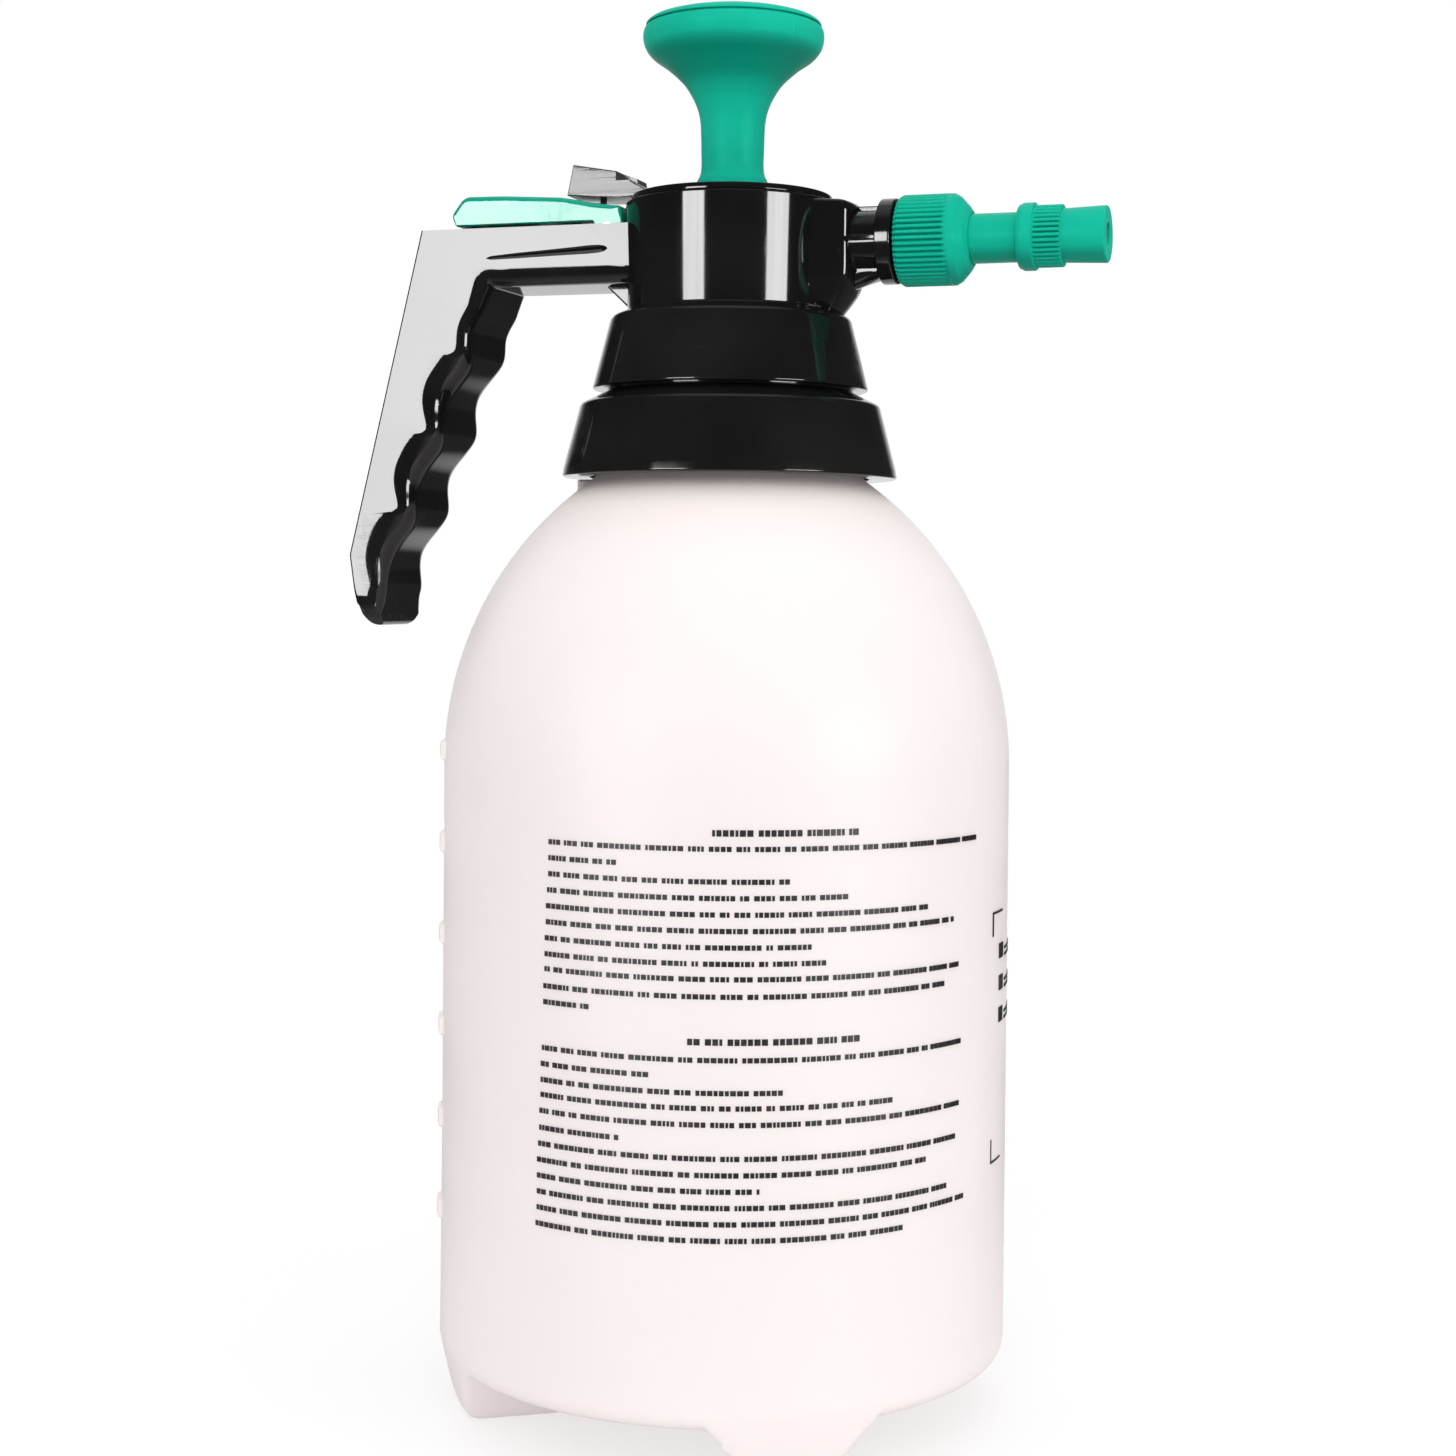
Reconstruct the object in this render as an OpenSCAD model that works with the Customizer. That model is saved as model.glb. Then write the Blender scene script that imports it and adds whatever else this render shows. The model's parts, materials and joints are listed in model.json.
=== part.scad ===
// Two litre hand pump pressure sprayer, built from its separate pieces.
// Millimetres, +Z up. Origin: centre of the bottle's base on the floor.
// Spray nozzle towards +X, pistol handle towards -X.

/* [Bottle] */
// Outer radius of the bottle's straight wall
bottle_r = 63; // [60:0.5:64]
// Wall thickness of the blown bottle
bottle_wall = 2; // [1.6:0.1:2.4]
// Height of the rim where the wall meets the footed base
base_h = 13; // [12:0.2:14]
// Height at which the straight wall turns into the shoulder
shoulder_z = 142.5; // [136:0.5:144]
// Direction of the first foot, degrees from the nozzle
foot_a = -58; // [-90:1:0]
// Distance of a foot's middle from the bottle's axis
foot_at = 46; // [45:0.5:47]
// Half width of a foot at the floor
foot_r = 6; // [5:0.5:7]
// Number of raised fill marks
mark_n = 6; // [3:1:6]
// Spacing of the raised fill marks
mark_step = 20.2; // [18:0.1:21]

/* [Head] */
// Outer radius at the collar's lower edge
collar_r = 37.3; // [36.5:0.1:38]
// Outer radius of the head's upper cylinder at the top
head_r = 23.7; // [23.5:0.1:24.2]
// Height of the head's top rim
head_top = 266.7; // [266.5:0.1:267]
// Height of the outlet's axis
outlet_z = 257.4; // [257.2:0.1:257.6]
// Outer radius of the outlet tube
outlet_r = 6.9; // [6.6:0.1:7.2]

/* [Handle] */
// Width of the handle
handle_w = 24; // [22:0.5:26]
// Wall thickness of the handle's sides
handle_wall = 3.4; // [3:0.1:3.5]
// Spacing of the finger waves on the grip
wave_step = 17.9; // [17:0.1:19.5]
// Depth of the finger waves on the grip
wave_h = 1.1; // [0.5:0.1:1.4]

/* [Pump] */
// Outer radius of the pump cylinder
cyl_r = 15; // [14.8:0.1:15.1]
// Inner radius of the pump cylinder
cyl_bore = 13.5; // [13.4:0.1:13.6]
// Radius of the pump rod
rod_r = 5; // [4.8:0.1:5]
// Radial clearance of sliding parts
run = 0.05; // [0.02:0.01:0.09]
// Largest radius of the mushroom knob
knob_r = 20.7; // [20:0.1:21.5]

/* [Nozzle] */
// Outer radius of the union nut
nut_r = 9.9; // [9.6:0.1:10.2]
// Number of grooves round the union nut
nut_ribs = 48; // [36:2:54]
// Radius of the lance barrel
barrel_r = 5.35; // [5.2:0.05:5.4]
// Number of ribs round the spray tip
tip_ribs = 36; // [24:2:40]

/* [Hidden] */
$fn = 96;

green = [0.07, 0.65, 0.51];
black = [0.08, 0.08, 0.08];
milky = [0.96, 0.94, 0.93];
rubber = [0.15, 0.15, 0.16];
steel = [0.72, 0.73, 0.75];

neck_r = 29.5;        // neck's outer radius
neck_in = 26.5;       // gasket's inner radius
neck_z = 219.5;       // top of the neck
neck_base = 205;      // where the shoulder meets the neck
gasket_h = 2;         // gasket between neck and head
shoulder_r = 77.1;    // radius of the shoulder's arc
shoulder_mid = bottle_r - shoulder_r;  // that arc's centre, from the axis
shoulder_end = acos((neck_r + 2 - shoulder_mid) / shoulder_r);
first_mark_z = 42.2;  // lower edge of the lowest fill mark

outlet_x = 19;        // ends of the outlet tube
outlet_end = 36;
nut_x = 39;           // rear face of the union nut
tip_x = 65.1;         // rear face of the spray tip
tip_bore_r = 3.3;     // chamber round the swirl core

hose_z = 254.5;       // height of the two hoses in the arm
hose_y = 3.4;         // their distance from the middle plane
hose_r = 2;           // their outer radius
bore_x = -30;         // rear end of their bores in the head
dip_at = 18.3;        // dip tube's distance from the axis
dip_x = -sqrt(dip_at * dip_at - hose_y * hose_y);
dip_r = 2.6;          // dip tube's outer radius
elbow_r = 3;          // radius of the inlet elbow's centre line
elbow_bore = 1;       // inner radius of the inlet elbow

valve_x = -42;        // axis of the trigger valve
valve_r = 2.5;        // radius of the valve stem's guide
pivot_x = -26;        // trigger pivot
pivot_z = 261;
pin_r = 1.5;          // radius of the pivot pin
chan_y = handle_w / 2 - handle_wall;  // half the width of the handle's channel
chan_z = 251.4;       // floor of the arm's channel

cyl_z = 125;          // ends of the pump cylinder
cyl_top = 262;
spigot_r = 3;         // spigot on the rod that holds the piston

// ---------- helpers ----------

module up(z) translate([0, 0, z]) children();
// a profile of [radius, z] points turned about +Z
module revolve(profile) rotate_extrude() polygon(profile);
// a ring with a round section, about +Z
module o_ring(r, section) rotate_extrude() translate([r, 0]) circle(r = section, $fn = 32);
// copies spread evenly about +Z
module around(n) for (i = [0 : n - 1]) rotate(360 / n * i) children();
// a profile of [x, z] points, given a width in y
module slab(w) rotate([90, 0, 0]) linear_extrude(height = w, center = true) children();
// a round rod along +X from x1 to x2
module bar_x(r, x1, x2, y, z) translate([x1, y, z]) rotate([0, 90, 0])
  cylinder(r = r, h = x2 - x1, $fn = 48);
// turns a shape made along +Z to lie along the outlet's axis, starting at x
module on_outlet(x) translate([x, 0, outlet_z]) rotate([0, 90, 0]) children();
module outlet_bar(r, x1, x2) bar_x(r, x1, x2, 0, outlet_z);
module at_dip_tube(z) translate([dip_x, hose_y, z]) children();
module at_valve(z) translate([valve_x, 0, z]) children();
// a rod across the trigger pivot, along y
module pivot_rod(r, h) translate([pivot_x, 0, pivot_z]) rotate([90, 0, 0])
  cylinder(r = r, h = h, center = true, $fn = 48);

// two triangles of a four-sided face; flip turns the face over
function quad(a, b, c, d, flip = false) = flip ? [[c, b, a], [d, c, a]] : [[a, b, c], [a, c, d]];

// ---------- bottle ----------

// points of the shoulder, offset inwards by d
function shoulder(d, steps = 14) = [for (i = [0 : steps])
  let (angle = shoulder_end * i / steps, r = shoulder_r - d)
  [shoulder_mid + r * cos(angle), shoulder_z + r * sin(angle)]];

// half profile of the blown body, offset inwards by d; the inside runs out through the neck
function body_profile(d) = let (top = neck_z + (d > 0 ? 1 : 0)) concat(
  [[0, base_h + 4.5 + d], [25, base_h + 3.2 + d], [50, base_h + 0.7 + d],
   [bottle_r - 3.2 - d * 0.7, base_h + d], [bottle_r - 1.2 - d, base_h + 0.8 + d],
   [bottle_r - 0.3 - d, base_h + 2 + d], [bottle_r - d, base_h + 3.4 + d]],
  shoulder(d),
  [[neck_r + 0.6 - d * 1.3, neck_base + 0.4], [neck_r - d * 1.5, neck_base + 1.6],
   [neck_r - d * 1.5, top], [0, top]]);

// four tapered feet, each a row of cones clipped to the bottle's round outline
module feet(d) intersection() {
  for (i = [0 : 3], k = [-1 : 1])
    rotate(foot_a + 90 * i) translate([foot_at + 6.3 * k, 0, d])
      cylinder(r1 = foot_r - d, r2 = foot_r + 16 - d, h = 22 - d, $fn = 64);
  revolve([[0, d], [54.5 - d, d], [57.6 - d, 0.8 + d], [59.9 - d, 3.8 + d],
    [62 - d, 13.5], [62 - d, 21.5 - d], [0, 21.5 - d]]);
}

module bottle() color(milky) difference() {
  union() {
    revolve(body_profile(0));
    feet(0);
    // thread turns on the neck
    for (z = [209, 213, 217]) up(z)
      revolve([[neck_r - 1, -1], [neck_r + 1.2, -0.4], [neck_r + 1.2, 0.4], [neck_r - 1, 1]]);
    // raised fill marks on the handle's side
    for (i = [0 : mark_n - 1]) up(first_mark_z + mark_step * i) rotate(-159)
      rotate_extrude(angle = 8) polygon([[bottle_r - 1, -0.6], [bottle_r + 0.8, 0.4],
        [bottle_r + 0.8, 3.6], [bottle_r - 1, 4.6]]);
    // small stop lug below the collar
    rotate(-164) translate([28.5, -2.5, 200]) cube([5.6, 5, 5.5]);
  }
  revolve(body_profile(bottle_wall));
  feet(bottle_wall);
}

module neck_gasket() color(rubber) up(neck_z) difference() {
  cylinder(r = neck_r + 1, h = gasket_h);
  up(-1) cylinder(r = neck_in, h = gasket_h + 2);
}

// ---------- head ----------

// stepped collar and upper cylinder, [radius, z]
head_outside = [[0, 205.9], [collar_r - 0.5, 205.9], [collar_r, 206.4],
  [collar_r - 0.3, 208.2], [33.7, 220.4], [33.3, 221.4], [32.3, 222.1], [28.1, 223.9],
  [27.3, 225.4], [30.4, 225.4], [30.7, 225.8], [27.4, 239.2], [26.9, 240.8], [25.8, 242],
  [23.6, 242.9], [23.1, 243.8], [head_r, head_top - 0.8], [head_r - 0.5, head_top],
  [0, head_top]];
neck_stop = neck_z + gasket_h;
head_inside = [[0, 204], [31.2, 204], [31.2, neck_stop], [24.5, neck_stop],
  [24.5, 239.2], [21.2, 241.6], [21.2, 257.9], [15.3, 257.9], [15.3, 259.4], [17.8, 259.4],
  [17.8, 269], [0, 269]];

// plan of the streamlined nose under the outlet, one side from its front
// to the head's wall, [x, y]
nose_half = [[29.6, 0.8], [29.5, 2.5], [29.1, 5], [28.2, 6.9], [26.8, 7.9], [25, 8.5],
  [23.4, 9.1], [21.9, 9.9], [18, 12]];
nose_plan = concat(nose_half, [for (i = [8 : -1 : 0]) [nose_half[i].x, -nose_half[i].y]]);
// side view of the nose, [x, z]
nose_side = [[17, 241.3], [24.4, 241.3], [25.3, 242.2], [28.3, 247.2], [31, 250.3],
  [31, 264.6], [30, 264.6], [28.6, 265.7], [24, 266.1], [17, 266.1]];

// front of the grip, [x, z]: a slanted line with finger waves square to it
grip_top = [-54.6, 247];
grip_run = [-25.7, -65.4];
grip_normal = [0.93, -0.366];
grip_crest_z = 232.5;
function grip_front(t) = let (point = grip_top + grip_run * t)
  point + grip_normal * wave_h * cos(360 * (point[1] - grip_crest_z) / wave_step);

// side view of the pistol handle, [x, z]
arm_top = 265.5;
arm_end = -64;   // where the arm's top turns into its rear corner
corner_r = 5;
handle_side = concat(
  [[-20, arm_top], [arm_end, arm_top]],
  [for (a = [100 : 20 : 160])
    [arm_end + corner_r * cos(a), arm_top - corner_r + corner_r * sin(a)]],
  [[-69.1, 259.4], [-87.8, 188.3], [-87.2, 181.5], [-86.3, 177], [-85, 173.8], [-83.1, 172.3],
   [-81.5, 172.9], [-80.6, 175], [-80.4, 178.2]],
  [for (i = [18 : -1 : 0]) grip_front(i / 18)],
  [[-52.4, 249], [-20, 249]]);

// hollow of the grip, open to the back, [x, z], and its bays between cross ribs, [z, height]
grip_pocket = [[-58.2, 248.6], [-61, 240], [-84.2, 181], [-96, 181], [-84, 248.6]];
grip_bays = [[181, 22], [204.6, 22], [228.2, 20.4]];

module nose() intersection() {
  up(240) linear_extrude(height = 30) polygon(nose_plan);
  slab(24) polygon(nose_side);
}

// outlet tube with its flange, threaded spigot, ribs and webs
module outlet() {
  on_outlet(outlet_x) cylinder(r = outlet_r, h = outlet_end - outlet_x);
  on_outlet(35.1) revolve([[0, 0], [8.9, 0], [9.3, 0.4], [9.3, 2.3], [8.9, 2.7], [0, 2.7]]);
  on_outlet(37) cylinder(r = 7.6, h = 10.5);
  for (x = [40.4, 43, 45.6]) on_outlet(x)
    revolve([[7, -0.8], [8.05, -0.3], [8.05, 0.3], [7, 0.8]]);
  // side ribs
  translate([outlet_x, -8.4, outlet_z - 0.45]) cube([outlet_end - outlet_x, 16.8, 0.9]);
  // webs under and over the tube
  slab(1.6) polygon([[outlet_x, 254], [outlet_end, 254], [outlet_end, 249.7], [28.9, 247.4],
    [outlet_x, 244.4]]);
  slab(1.8) polygon([[24, 262], [outlet_end, 262], [outlet_end, 265.1], [24, 265.2]]);
}

module head_housing() color(black) difference() {
  union() {
    revolve(head_outside);
    nose();
    outlet();
    // handle with the web under its arm
    slab(handle_w) polygon(handle_side);
    slab(2) polygon([[-20, 250], [-20, 243], [-23.6, 244.2], [-27.6, 249.4], [-27.6, 250]]);
  }
  revolve(head_inside);
  // channel in the top of the arm for the lever and valve
  slab(2 * chan_y) polygon([[-24.8, chan_z], [-24.8, 257.4], [-22.9, 258], [-22.9, 272],
    [-66, 272], [-66, 256], [-62, chan_z]]);
  intersection() {
    slab(2 * chan_y) polygon(grip_pocket);
    for (bay = grip_bays) translate([-100, -20, bay[0]]) cube([60, 40, bay[1]]);
  }
  // holes for the pivot pin, hoses and outlet
  pivot_rod(pin_r + run, 21);
  for (side = [-1, 1]) bar_x(hose_r + 0.25, bore_x, -16, side * hose_y, hose_z);
  bar_x(hose_r + 0.3, outlet_x, 25.8, 0, hose_z);
  outlet_bar(3, 24.6, 60);
}

// ---------- pump ----------

module pump_cap() color(black) difference() {
  revolve([[0, 262.1], [17.7, 262.1], [17.7, 266.8], [22, 266.8], [22.4, 267.2],
    [22.4, 267.9], [21.9, 268.4], [0, 268.4]]);
  // ring-shaped recess round the rod, open below
  revolve([[8.5, 261], [15, 261], [15, 265.2], [8.5, 265.2]]);
  up(260) cylinder(r = rod_r + run, h = 10);
}

module pump_cylinder() color(milky) difference() {
  revolve([[0, cyl_z], [cyl_r - 0.8, cyl_z], [cyl_r, cyl_z + 0.8], [cyl_r, 260.2],
    [17.4, 260.2], [17.4, cyl_top], [0, cyl_top]]);
  up(cyl_z + 3) cylinder(r = cyl_bore, h = 140);
  // middle hole for the check valve and four holes round it
  up(cyl_z - 5) cylinder(r = 1.6, h = 10);
  around(4) translate([6.5, 0, cyl_z - 5]) cylinder(r = 1.4, h = 10, $fn = 24);
}

module cylinder_o_ring() color(rubber) up(259.8) o_ring(16.5, 0.39);

module check_valve() color(rubber) revolve([[0, 122.6], [5, 122.8], [9.5, 124.1], [9.5, 124.9],
  [1.5, 124.9], [1.5, 128.1], [2.3, 128.3], [1.4, 130.2], [0, 130.5]]);

module pump_knob() color(green) difference() {
  revolve([[0, 268.5], [7.9, 268.5], [7.9, 269.3], [7.3, 271], [6.95, 275], [7.03, 281.3],
    [7.17, 284.4], [7.84, 287.6], [9.18, 290.7], [11.2, 293.8], [14.6, 297], [18.2, 300.1],
    [20, 302.6], [knob_r, 304.6], [knob_r, 305.6], [20.3, 306.6], [19.5, 307.3], [0, 307.3]]);
  up(267) cylinder(r = rod_r + run, h = 32.2);
  // seat for the cap
  revolve([[0, 301], [14, 302.4], [16.3, 304], [16.3, 309], [0, 309]]);
}

module knob_cap() color(green) revolve([[0, 307.6], [13.6, 307.4], [14, 304.8], [16.2, 304.8],
  [16.2, 307.4], [19.1, 307.4], [19, 307.9], [17.5, 308.8], [14, 309.8], [8, 310.5],
  [0, 310.7]]);

module pump_rod() color(milky) union() {
  up(143) cylinder(r = rod_r, h = 156);
  up(134.4) cylinder(r = spigot_r, h = 9);
}

module piston() color(milky) difference() {
  revolve([[0, 133], [12.6, 133], [13.2, 133.6], [13.2, 136.9], [11.5, 136.9],
    [11.5, 139.1], [13.2, 139.1], [13.2, 142.3], [12.6, 142.9], [0, 142.9]]);
  up(134.3) cylinder(r = spigot_r + run, h = 10);
}

module piston_ring() color(rubber) up(138) o_ring(12.5, 0.94);

// ---------- hoses and dip tube ----------

// quarter turn from the dip tube's axis to the hose's height
module elbow_bend(r) translate([dip_x - elbow_r, hose_y, hose_z - elbow_r])
  rotate([90, 0, 0]) rotate_extrude(angle = 90) translate([elbow_r, 0]) circle(r = r, $fn = 48);
module elbow_bore_bend() translate([dip_x - elbow_r, hose_y, hose_z - elbow_r])
  rotate([90, 0, 0]) rotate_extrude(angle = 90) translate([elbow_r, 0])
    circle(r = elbow_bore, $fn = 32);

module inlet_elbow() color(milky) difference() {
  union() {
    at_dip_tube(242) cylinder(r = 1.65, h = 9.6, $fn = 48);
    at_dip_tube(250.6) cylinder(r = hose_r, h = 0.9, $fn = 48);
    elbow_bend(hose_r);
    bar_x(hose_r, valve_x + 2, dip_x - elbow_r, hose_y, hose_z);
  }
  at_dip_tube(241) cylinder(r = elbow_bore, h = 10.5, $fn = 32);
  elbow_bore_bend();
  bar_x(elbow_bore, valve_x + 1, dip_x - elbow_r, hose_y, hose_z);
}

// outlet hose: straight in the arm, a bend, half way round the pump, a bend
wrap_r = 18;
bend_r = 5;
bend_at = wrap_r + bend_r;  // distance of the bends' centres from the axis
bend_in = [-sqrt(pow(bend_at, 2) - pow(hose_y + bend_r, 2)), -hose_y - bend_r];
bend_out = [sqrt(pow(bend_at, 2) - pow(bend_r, 2)), -bend_r];
angle_in = atan2(-bend_in.y, -bend_in.x);
angle_out = atan2(bend_out.y, bend_out.x);
// stations along an arc: x, y and heading; way is 1 anticlockwise, -1 clockwise
function turn(centre, r, from, to, steps, way) = [for (i = [0 : steps])
  let (angle = from + (to - from) * i / steps)
  [centre.x + r * cos(angle), centre.y + r * sin(angle), angle + 90 * way]];
hose_path = concat(
  [[valve_x + 2, -hose_y, 0], [bore_x, -hose_y, 0]],
  turn(bend_in, bend_r, 90, angle_in, 5, -1),
  turn([0, 0], wrap_r, 181 + angle_in, 359 + angle_out, 20, 1),
  turn(bend_out, bend_r, 180 + angle_out, 90, 5, -1),
  [[24.4, 0, 0]]);

// a pipe swept level along such stations: outer skin, then bore, then end rings
module pipe(path, r, bore, z, sides = 14) {
  last = len(path) - 1;
  skin = (last + 1) * sides;  // points in one skin
  points = [for (q = [r, bore], p = path, j = [0 : sides - 1])
    let (a = 360 * (j + 0.5) / sides)
    [p[0] + sin(p[2]) * q * cos(a), p[1] - cos(p[2]) * q * cos(a), z + q * sin(a)]];
  walls = [for (i = [0 : last - 1], j = [0 : sides - 1], inner = [0, 1])
    let (k = (j + 1) % sides, here = inner * skin + i * sides, next = here + sides)
    each quad(here + j, next + j, next + k, here + k, inner == 1)];
  ends = [for (j = [0 : sides - 1], i = [0, last])
    let (k = (j + 1) % sides, here = i * sides, inside = skin + here)
    each quad(here + j, here + k, inside + k, inside + j, i > 0)];
  polyhedron(points = points, faces = concat(walls, ends));
}
module outlet_hose() color(milky) pipe(hose_path, hose_r, 1.1, hose_z);

module dip_tube() color(milky) at_dip_tube(28) difference() {
  cylinder(r = dip_r, h = 222.4, $fn = 48);
  up(-1) cylinder(r = 1.7, h = 230, $fn = 48);
}

module dip_tube_filter() color(milky) at_dip_tube(22.4) difference() {
  cylinder(r = 4.2, h = 12, $fn = 48);
  up(5.4) cylinder(r = dip_r + run, h = 10, $fn = 48);
  up(1.2) cylinder(r = 3, h = 4.5, $fn = 48);
  // two rows of slots right across
  for (i = [0 : 2], j = [0 : 1])
    rotate(60 * i) translate([-6, -0.4, 1.4 + j * 2]) cube([12, 0.8, 1.3]);
}

// ---------- nozzle ----------

module outlet_o_ring() color(rubber) on_outlet(47.9) o_ring(6, 0.38);

module nozzle_barrel() color(green) difference() {
  union() {
    on_outlet(48.3) cylinder(r = 7.9, h = 1.9);
    outlet_bar(barrel_r, 49, 65);
    outlet_bar(4.3, 64, 72.2);
    for (x = [67.2, 69.2, 71.2]) on_outlet(x) cylinder(r = 4.48, h = 0.6, center = true);
  }
  outlet_bar(1.9, 47, 75);
}

module union_nut() color(green) difference() {
  on_outlet(nut_x) revolve([[0, 0], [9, 0], [9.2, 0.5], [nut_r, 0.9], [nut_r, 11.9],
    [nut_r - 0.9, 13.1], [7, 15], [6.1, 15.7], [0, 15.7]]);
  on_outlet(nut_x - 0.5) around(nut_ribs)
    translate([nut_r - 0.6, -0.32, 0]) cube([2, 0.64, 11.3]);
  on_outlet(nut_x - 1) cylinder(r = 8.25, h = 12.3);
  on_outlet(nut_x - 1) cylinder(r = barrel_r + 0.07, h = 20);
}

module swirl_core() color(milky) difference() {
  union() {
    outlet_bar(3, 72.35, 77.9);
    outlet_bar(1.85, 67, 73);
  }
  // bore, cross hole and two slots in the front face
  outlet_bar(1, 66, 74.6);
  translate([74.2, 0, outlet_z]) rotate([90, 0, 0])
    cylinder(r = 0.8, h = 10, center = true, $fn = 24);
  for (side = [-1, 1]) translate([76.6, side * 1.4 - 0.3, outlet_z - 4]) cube([4, 0.6, 8]);
}

module nozzle_o_ring() color(rubber) on_outlet(72.95) o_ring(3.85, 0.58);

module nozzle_tip() color(green) difference() {
  union() {
    on_outlet(tip_x) revolve([[0, 0], [6.9, 0], [7.26, 0.4], [7.26, 3.1], [6.9, 3.5],
      [6.2, 3.5], [6.2, 9.3], [5.7, 9.5], [6.05, 18.8], [5.8, 19.1], [0, 19.1]]);
    on_outlet(67) around(tip_ribs) translate([5.5, -0.3, 0]) cube([1.15, 0.6, 7.1]);
  }
  // barrel socket, core chamber, spray hole and front recess
  outlet_bar(4.55, 64, 73.6);
  outlet_bar(tip_bore_r, 73, 78.4);
  outlet_bar(0.7, 78, 82);
  outlet_bar(2.4, 80.8, 86);
}

// ---------- trigger ----------

module trigger_pin() color(steel) pivot_rod(pin_r, 20.8);

module trigger_lever() color(green) difference() {
  slab(16) polygon([[-23.6, 266.4], [-30, 267.4], [-37, 268.9], [-60.4, 269.7],
    [-62.4, 269], [-63.5, 267.4], [-64, 265.6], [-63.4, 263.2], [-30, 263.2], [-28.6, 261],
    [-27.6, 258.6], [-24.4, 258.6], [-23.2, 261]]);
  // hollow underside, leaving a block over the valve
  difference() {
    slab(12.4) polygon([[-31, 265.3], [-37, 266.9], [-60.2, 267.7], [-61.8, 266],
      [-61.8, 262], [-31, 262]]);
    translate([valve_x - 3, -7, 262.4]) cube([6, 14, 8]);
  }
  // gap between the pivot ears
  slab(9) polygon([[-22, 264.9], [-31.5, 265.2], [-31.5, 257], [-22, 257]]);
  // slot for the lock's foot
  translate([-36.6, -2.1, 260]) cube([11, 4.2, 12]);
  pivot_rod(pin_r + run, 30);
}

module lock_slide() color(black) {
  slab(11) polygon([[-37.4, 269.4], [-36, 276.4], [-25.4, 274.6], [-22.2, 273.4],
    [-22.2, 272.2], [-18.9, 270.4], [-18.9, 269.3], [-22.4, 268.7], [-24.2, 268.7],
    [-30, 268.9]]);
  // foot with a wider sole
  translate([-35.4, -2, 264]) cube([4.8, 4, 6]);
  translate([-35.4, -3.2, 263.8]) cube([4.8, 6.4, 0.9]);
}

// ---------- trigger valve ----------

module valve_block() color(milky) difference() {
  union() {
    translate([valve_x - 5, -7.4, chan_z + 0.1]) cube([10, 14.8, 4.6]);
    at_valve(chan_z + 0.2) cylinder(r = 4.6, h = 5.6);
  }
  at_valve(252.4) cylinder(r = valve_r + run, h = 6, $fn = 48);
  for (side = [-1, 1]) bar_x(hose_r + run, valve_x + 1.6, bore_x, side * hose_y, hose_z);
}

module valve_stem() color(milky) at_valve(0) revolve([[0, 254.3], [2.2, 254.3],
  [valve_r, 254.6], [valve_r, 255.1], [1.8, 255.1], [1.8, 256.1], [valve_r, 256.1],
  [valve_r, 257.4], [1.6, 258], [1.6, 261.3], [4.2, 261.3], [4.2, 262.1], [3.8, 262.38],
  [0, 262.38]]);

module valve_seal() color(rubber) at_valve(255.6) o_ring(2.17, 0.36);

// a coil of round wire swept along a helix
module coil(r, wire, h, turns, steps = 20, sides = 8) {
  last = turns * steps;
  points = [for (i = [0 : last], j = [0 : sides - 1])
    let (a = 360 * i / steps, b = 360 * j / sides, out = r + wire * cos(b))
    [out * cos(a), out * sin(a), h * i / last + wire * sin(b)]];
  walls = [for (i = [0 : last - 1], j = [0 : sides - 1])
    let (k = (j + 1) % sides, here = i * sides, next = here + sides)
    each quad(here + j, next + j, next + k, here + k)];
  ends = [[for (j = [0 : sides - 1]) j], [for (j = [sides - 1 : -1 : 0]) last * sides + j]];
  polyhedron(points = points, faces = concat(walls, ends));
}
module valve_spring() color(steel) at_valve(257.65) coil(r = 3.4, wire = 0.3, h = 3.3, turns = 4);

// ---------- assembly ----------

bottle();
neck_gasket();
head_housing();
pump_cap();
pump_cylinder();
cylinder_o_ring();
check_valve();
valve_block();
inlet_elbow();
outlet_hose();
dip_tube();
dip_tube_filter();
trigger_pin();
outlet_o_ring();
nozzle_barrel();
union_nut();
swirl_core();
pump_knob();
knob_cap();
pump_rod();
piston();
piston_ring();
trigger_lever();
lock_slide();
valve_stem();
valve_seal();
valve_spring();
nozzle_o_ring();
nozzle_tip();
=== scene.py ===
"""Pump sprayer: a natural plastic bottle on four feet, a black head with a hollow grip,
a green pump knob on a white rod, and a green nozzle.

The bottle stands on z = 0 with its axis on +Z. The outlet points along +X and the grip
hangs on the -X side. The camera looks from -Y, turned a little towards +X.
Shapes are given in millimetres; the scene, its lights and its textures are in metres.
"""
import bpy, bmesh, json, math, random
import numpy as np
from mathutils import Matrix, Vector
from mathutils.geometry import delaunay_2d_cdt, tessellate_polygon


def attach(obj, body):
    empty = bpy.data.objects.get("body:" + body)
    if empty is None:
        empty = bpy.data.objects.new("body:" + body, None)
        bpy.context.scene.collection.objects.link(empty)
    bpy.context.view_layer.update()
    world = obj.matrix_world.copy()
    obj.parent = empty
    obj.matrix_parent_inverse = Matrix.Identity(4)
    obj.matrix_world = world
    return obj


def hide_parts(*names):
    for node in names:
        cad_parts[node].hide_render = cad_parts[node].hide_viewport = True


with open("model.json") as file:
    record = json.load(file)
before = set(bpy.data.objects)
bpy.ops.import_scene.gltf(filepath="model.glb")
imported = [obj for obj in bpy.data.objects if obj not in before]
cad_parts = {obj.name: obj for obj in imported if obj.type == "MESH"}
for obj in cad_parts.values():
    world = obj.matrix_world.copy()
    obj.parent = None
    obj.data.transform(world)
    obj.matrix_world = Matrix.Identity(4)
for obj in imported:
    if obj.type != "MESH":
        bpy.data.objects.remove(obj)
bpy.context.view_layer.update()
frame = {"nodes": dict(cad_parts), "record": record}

MM = 0.001
PI = math.pi
OUTLET_Z = 257.4            # height of the outlet axis
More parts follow.
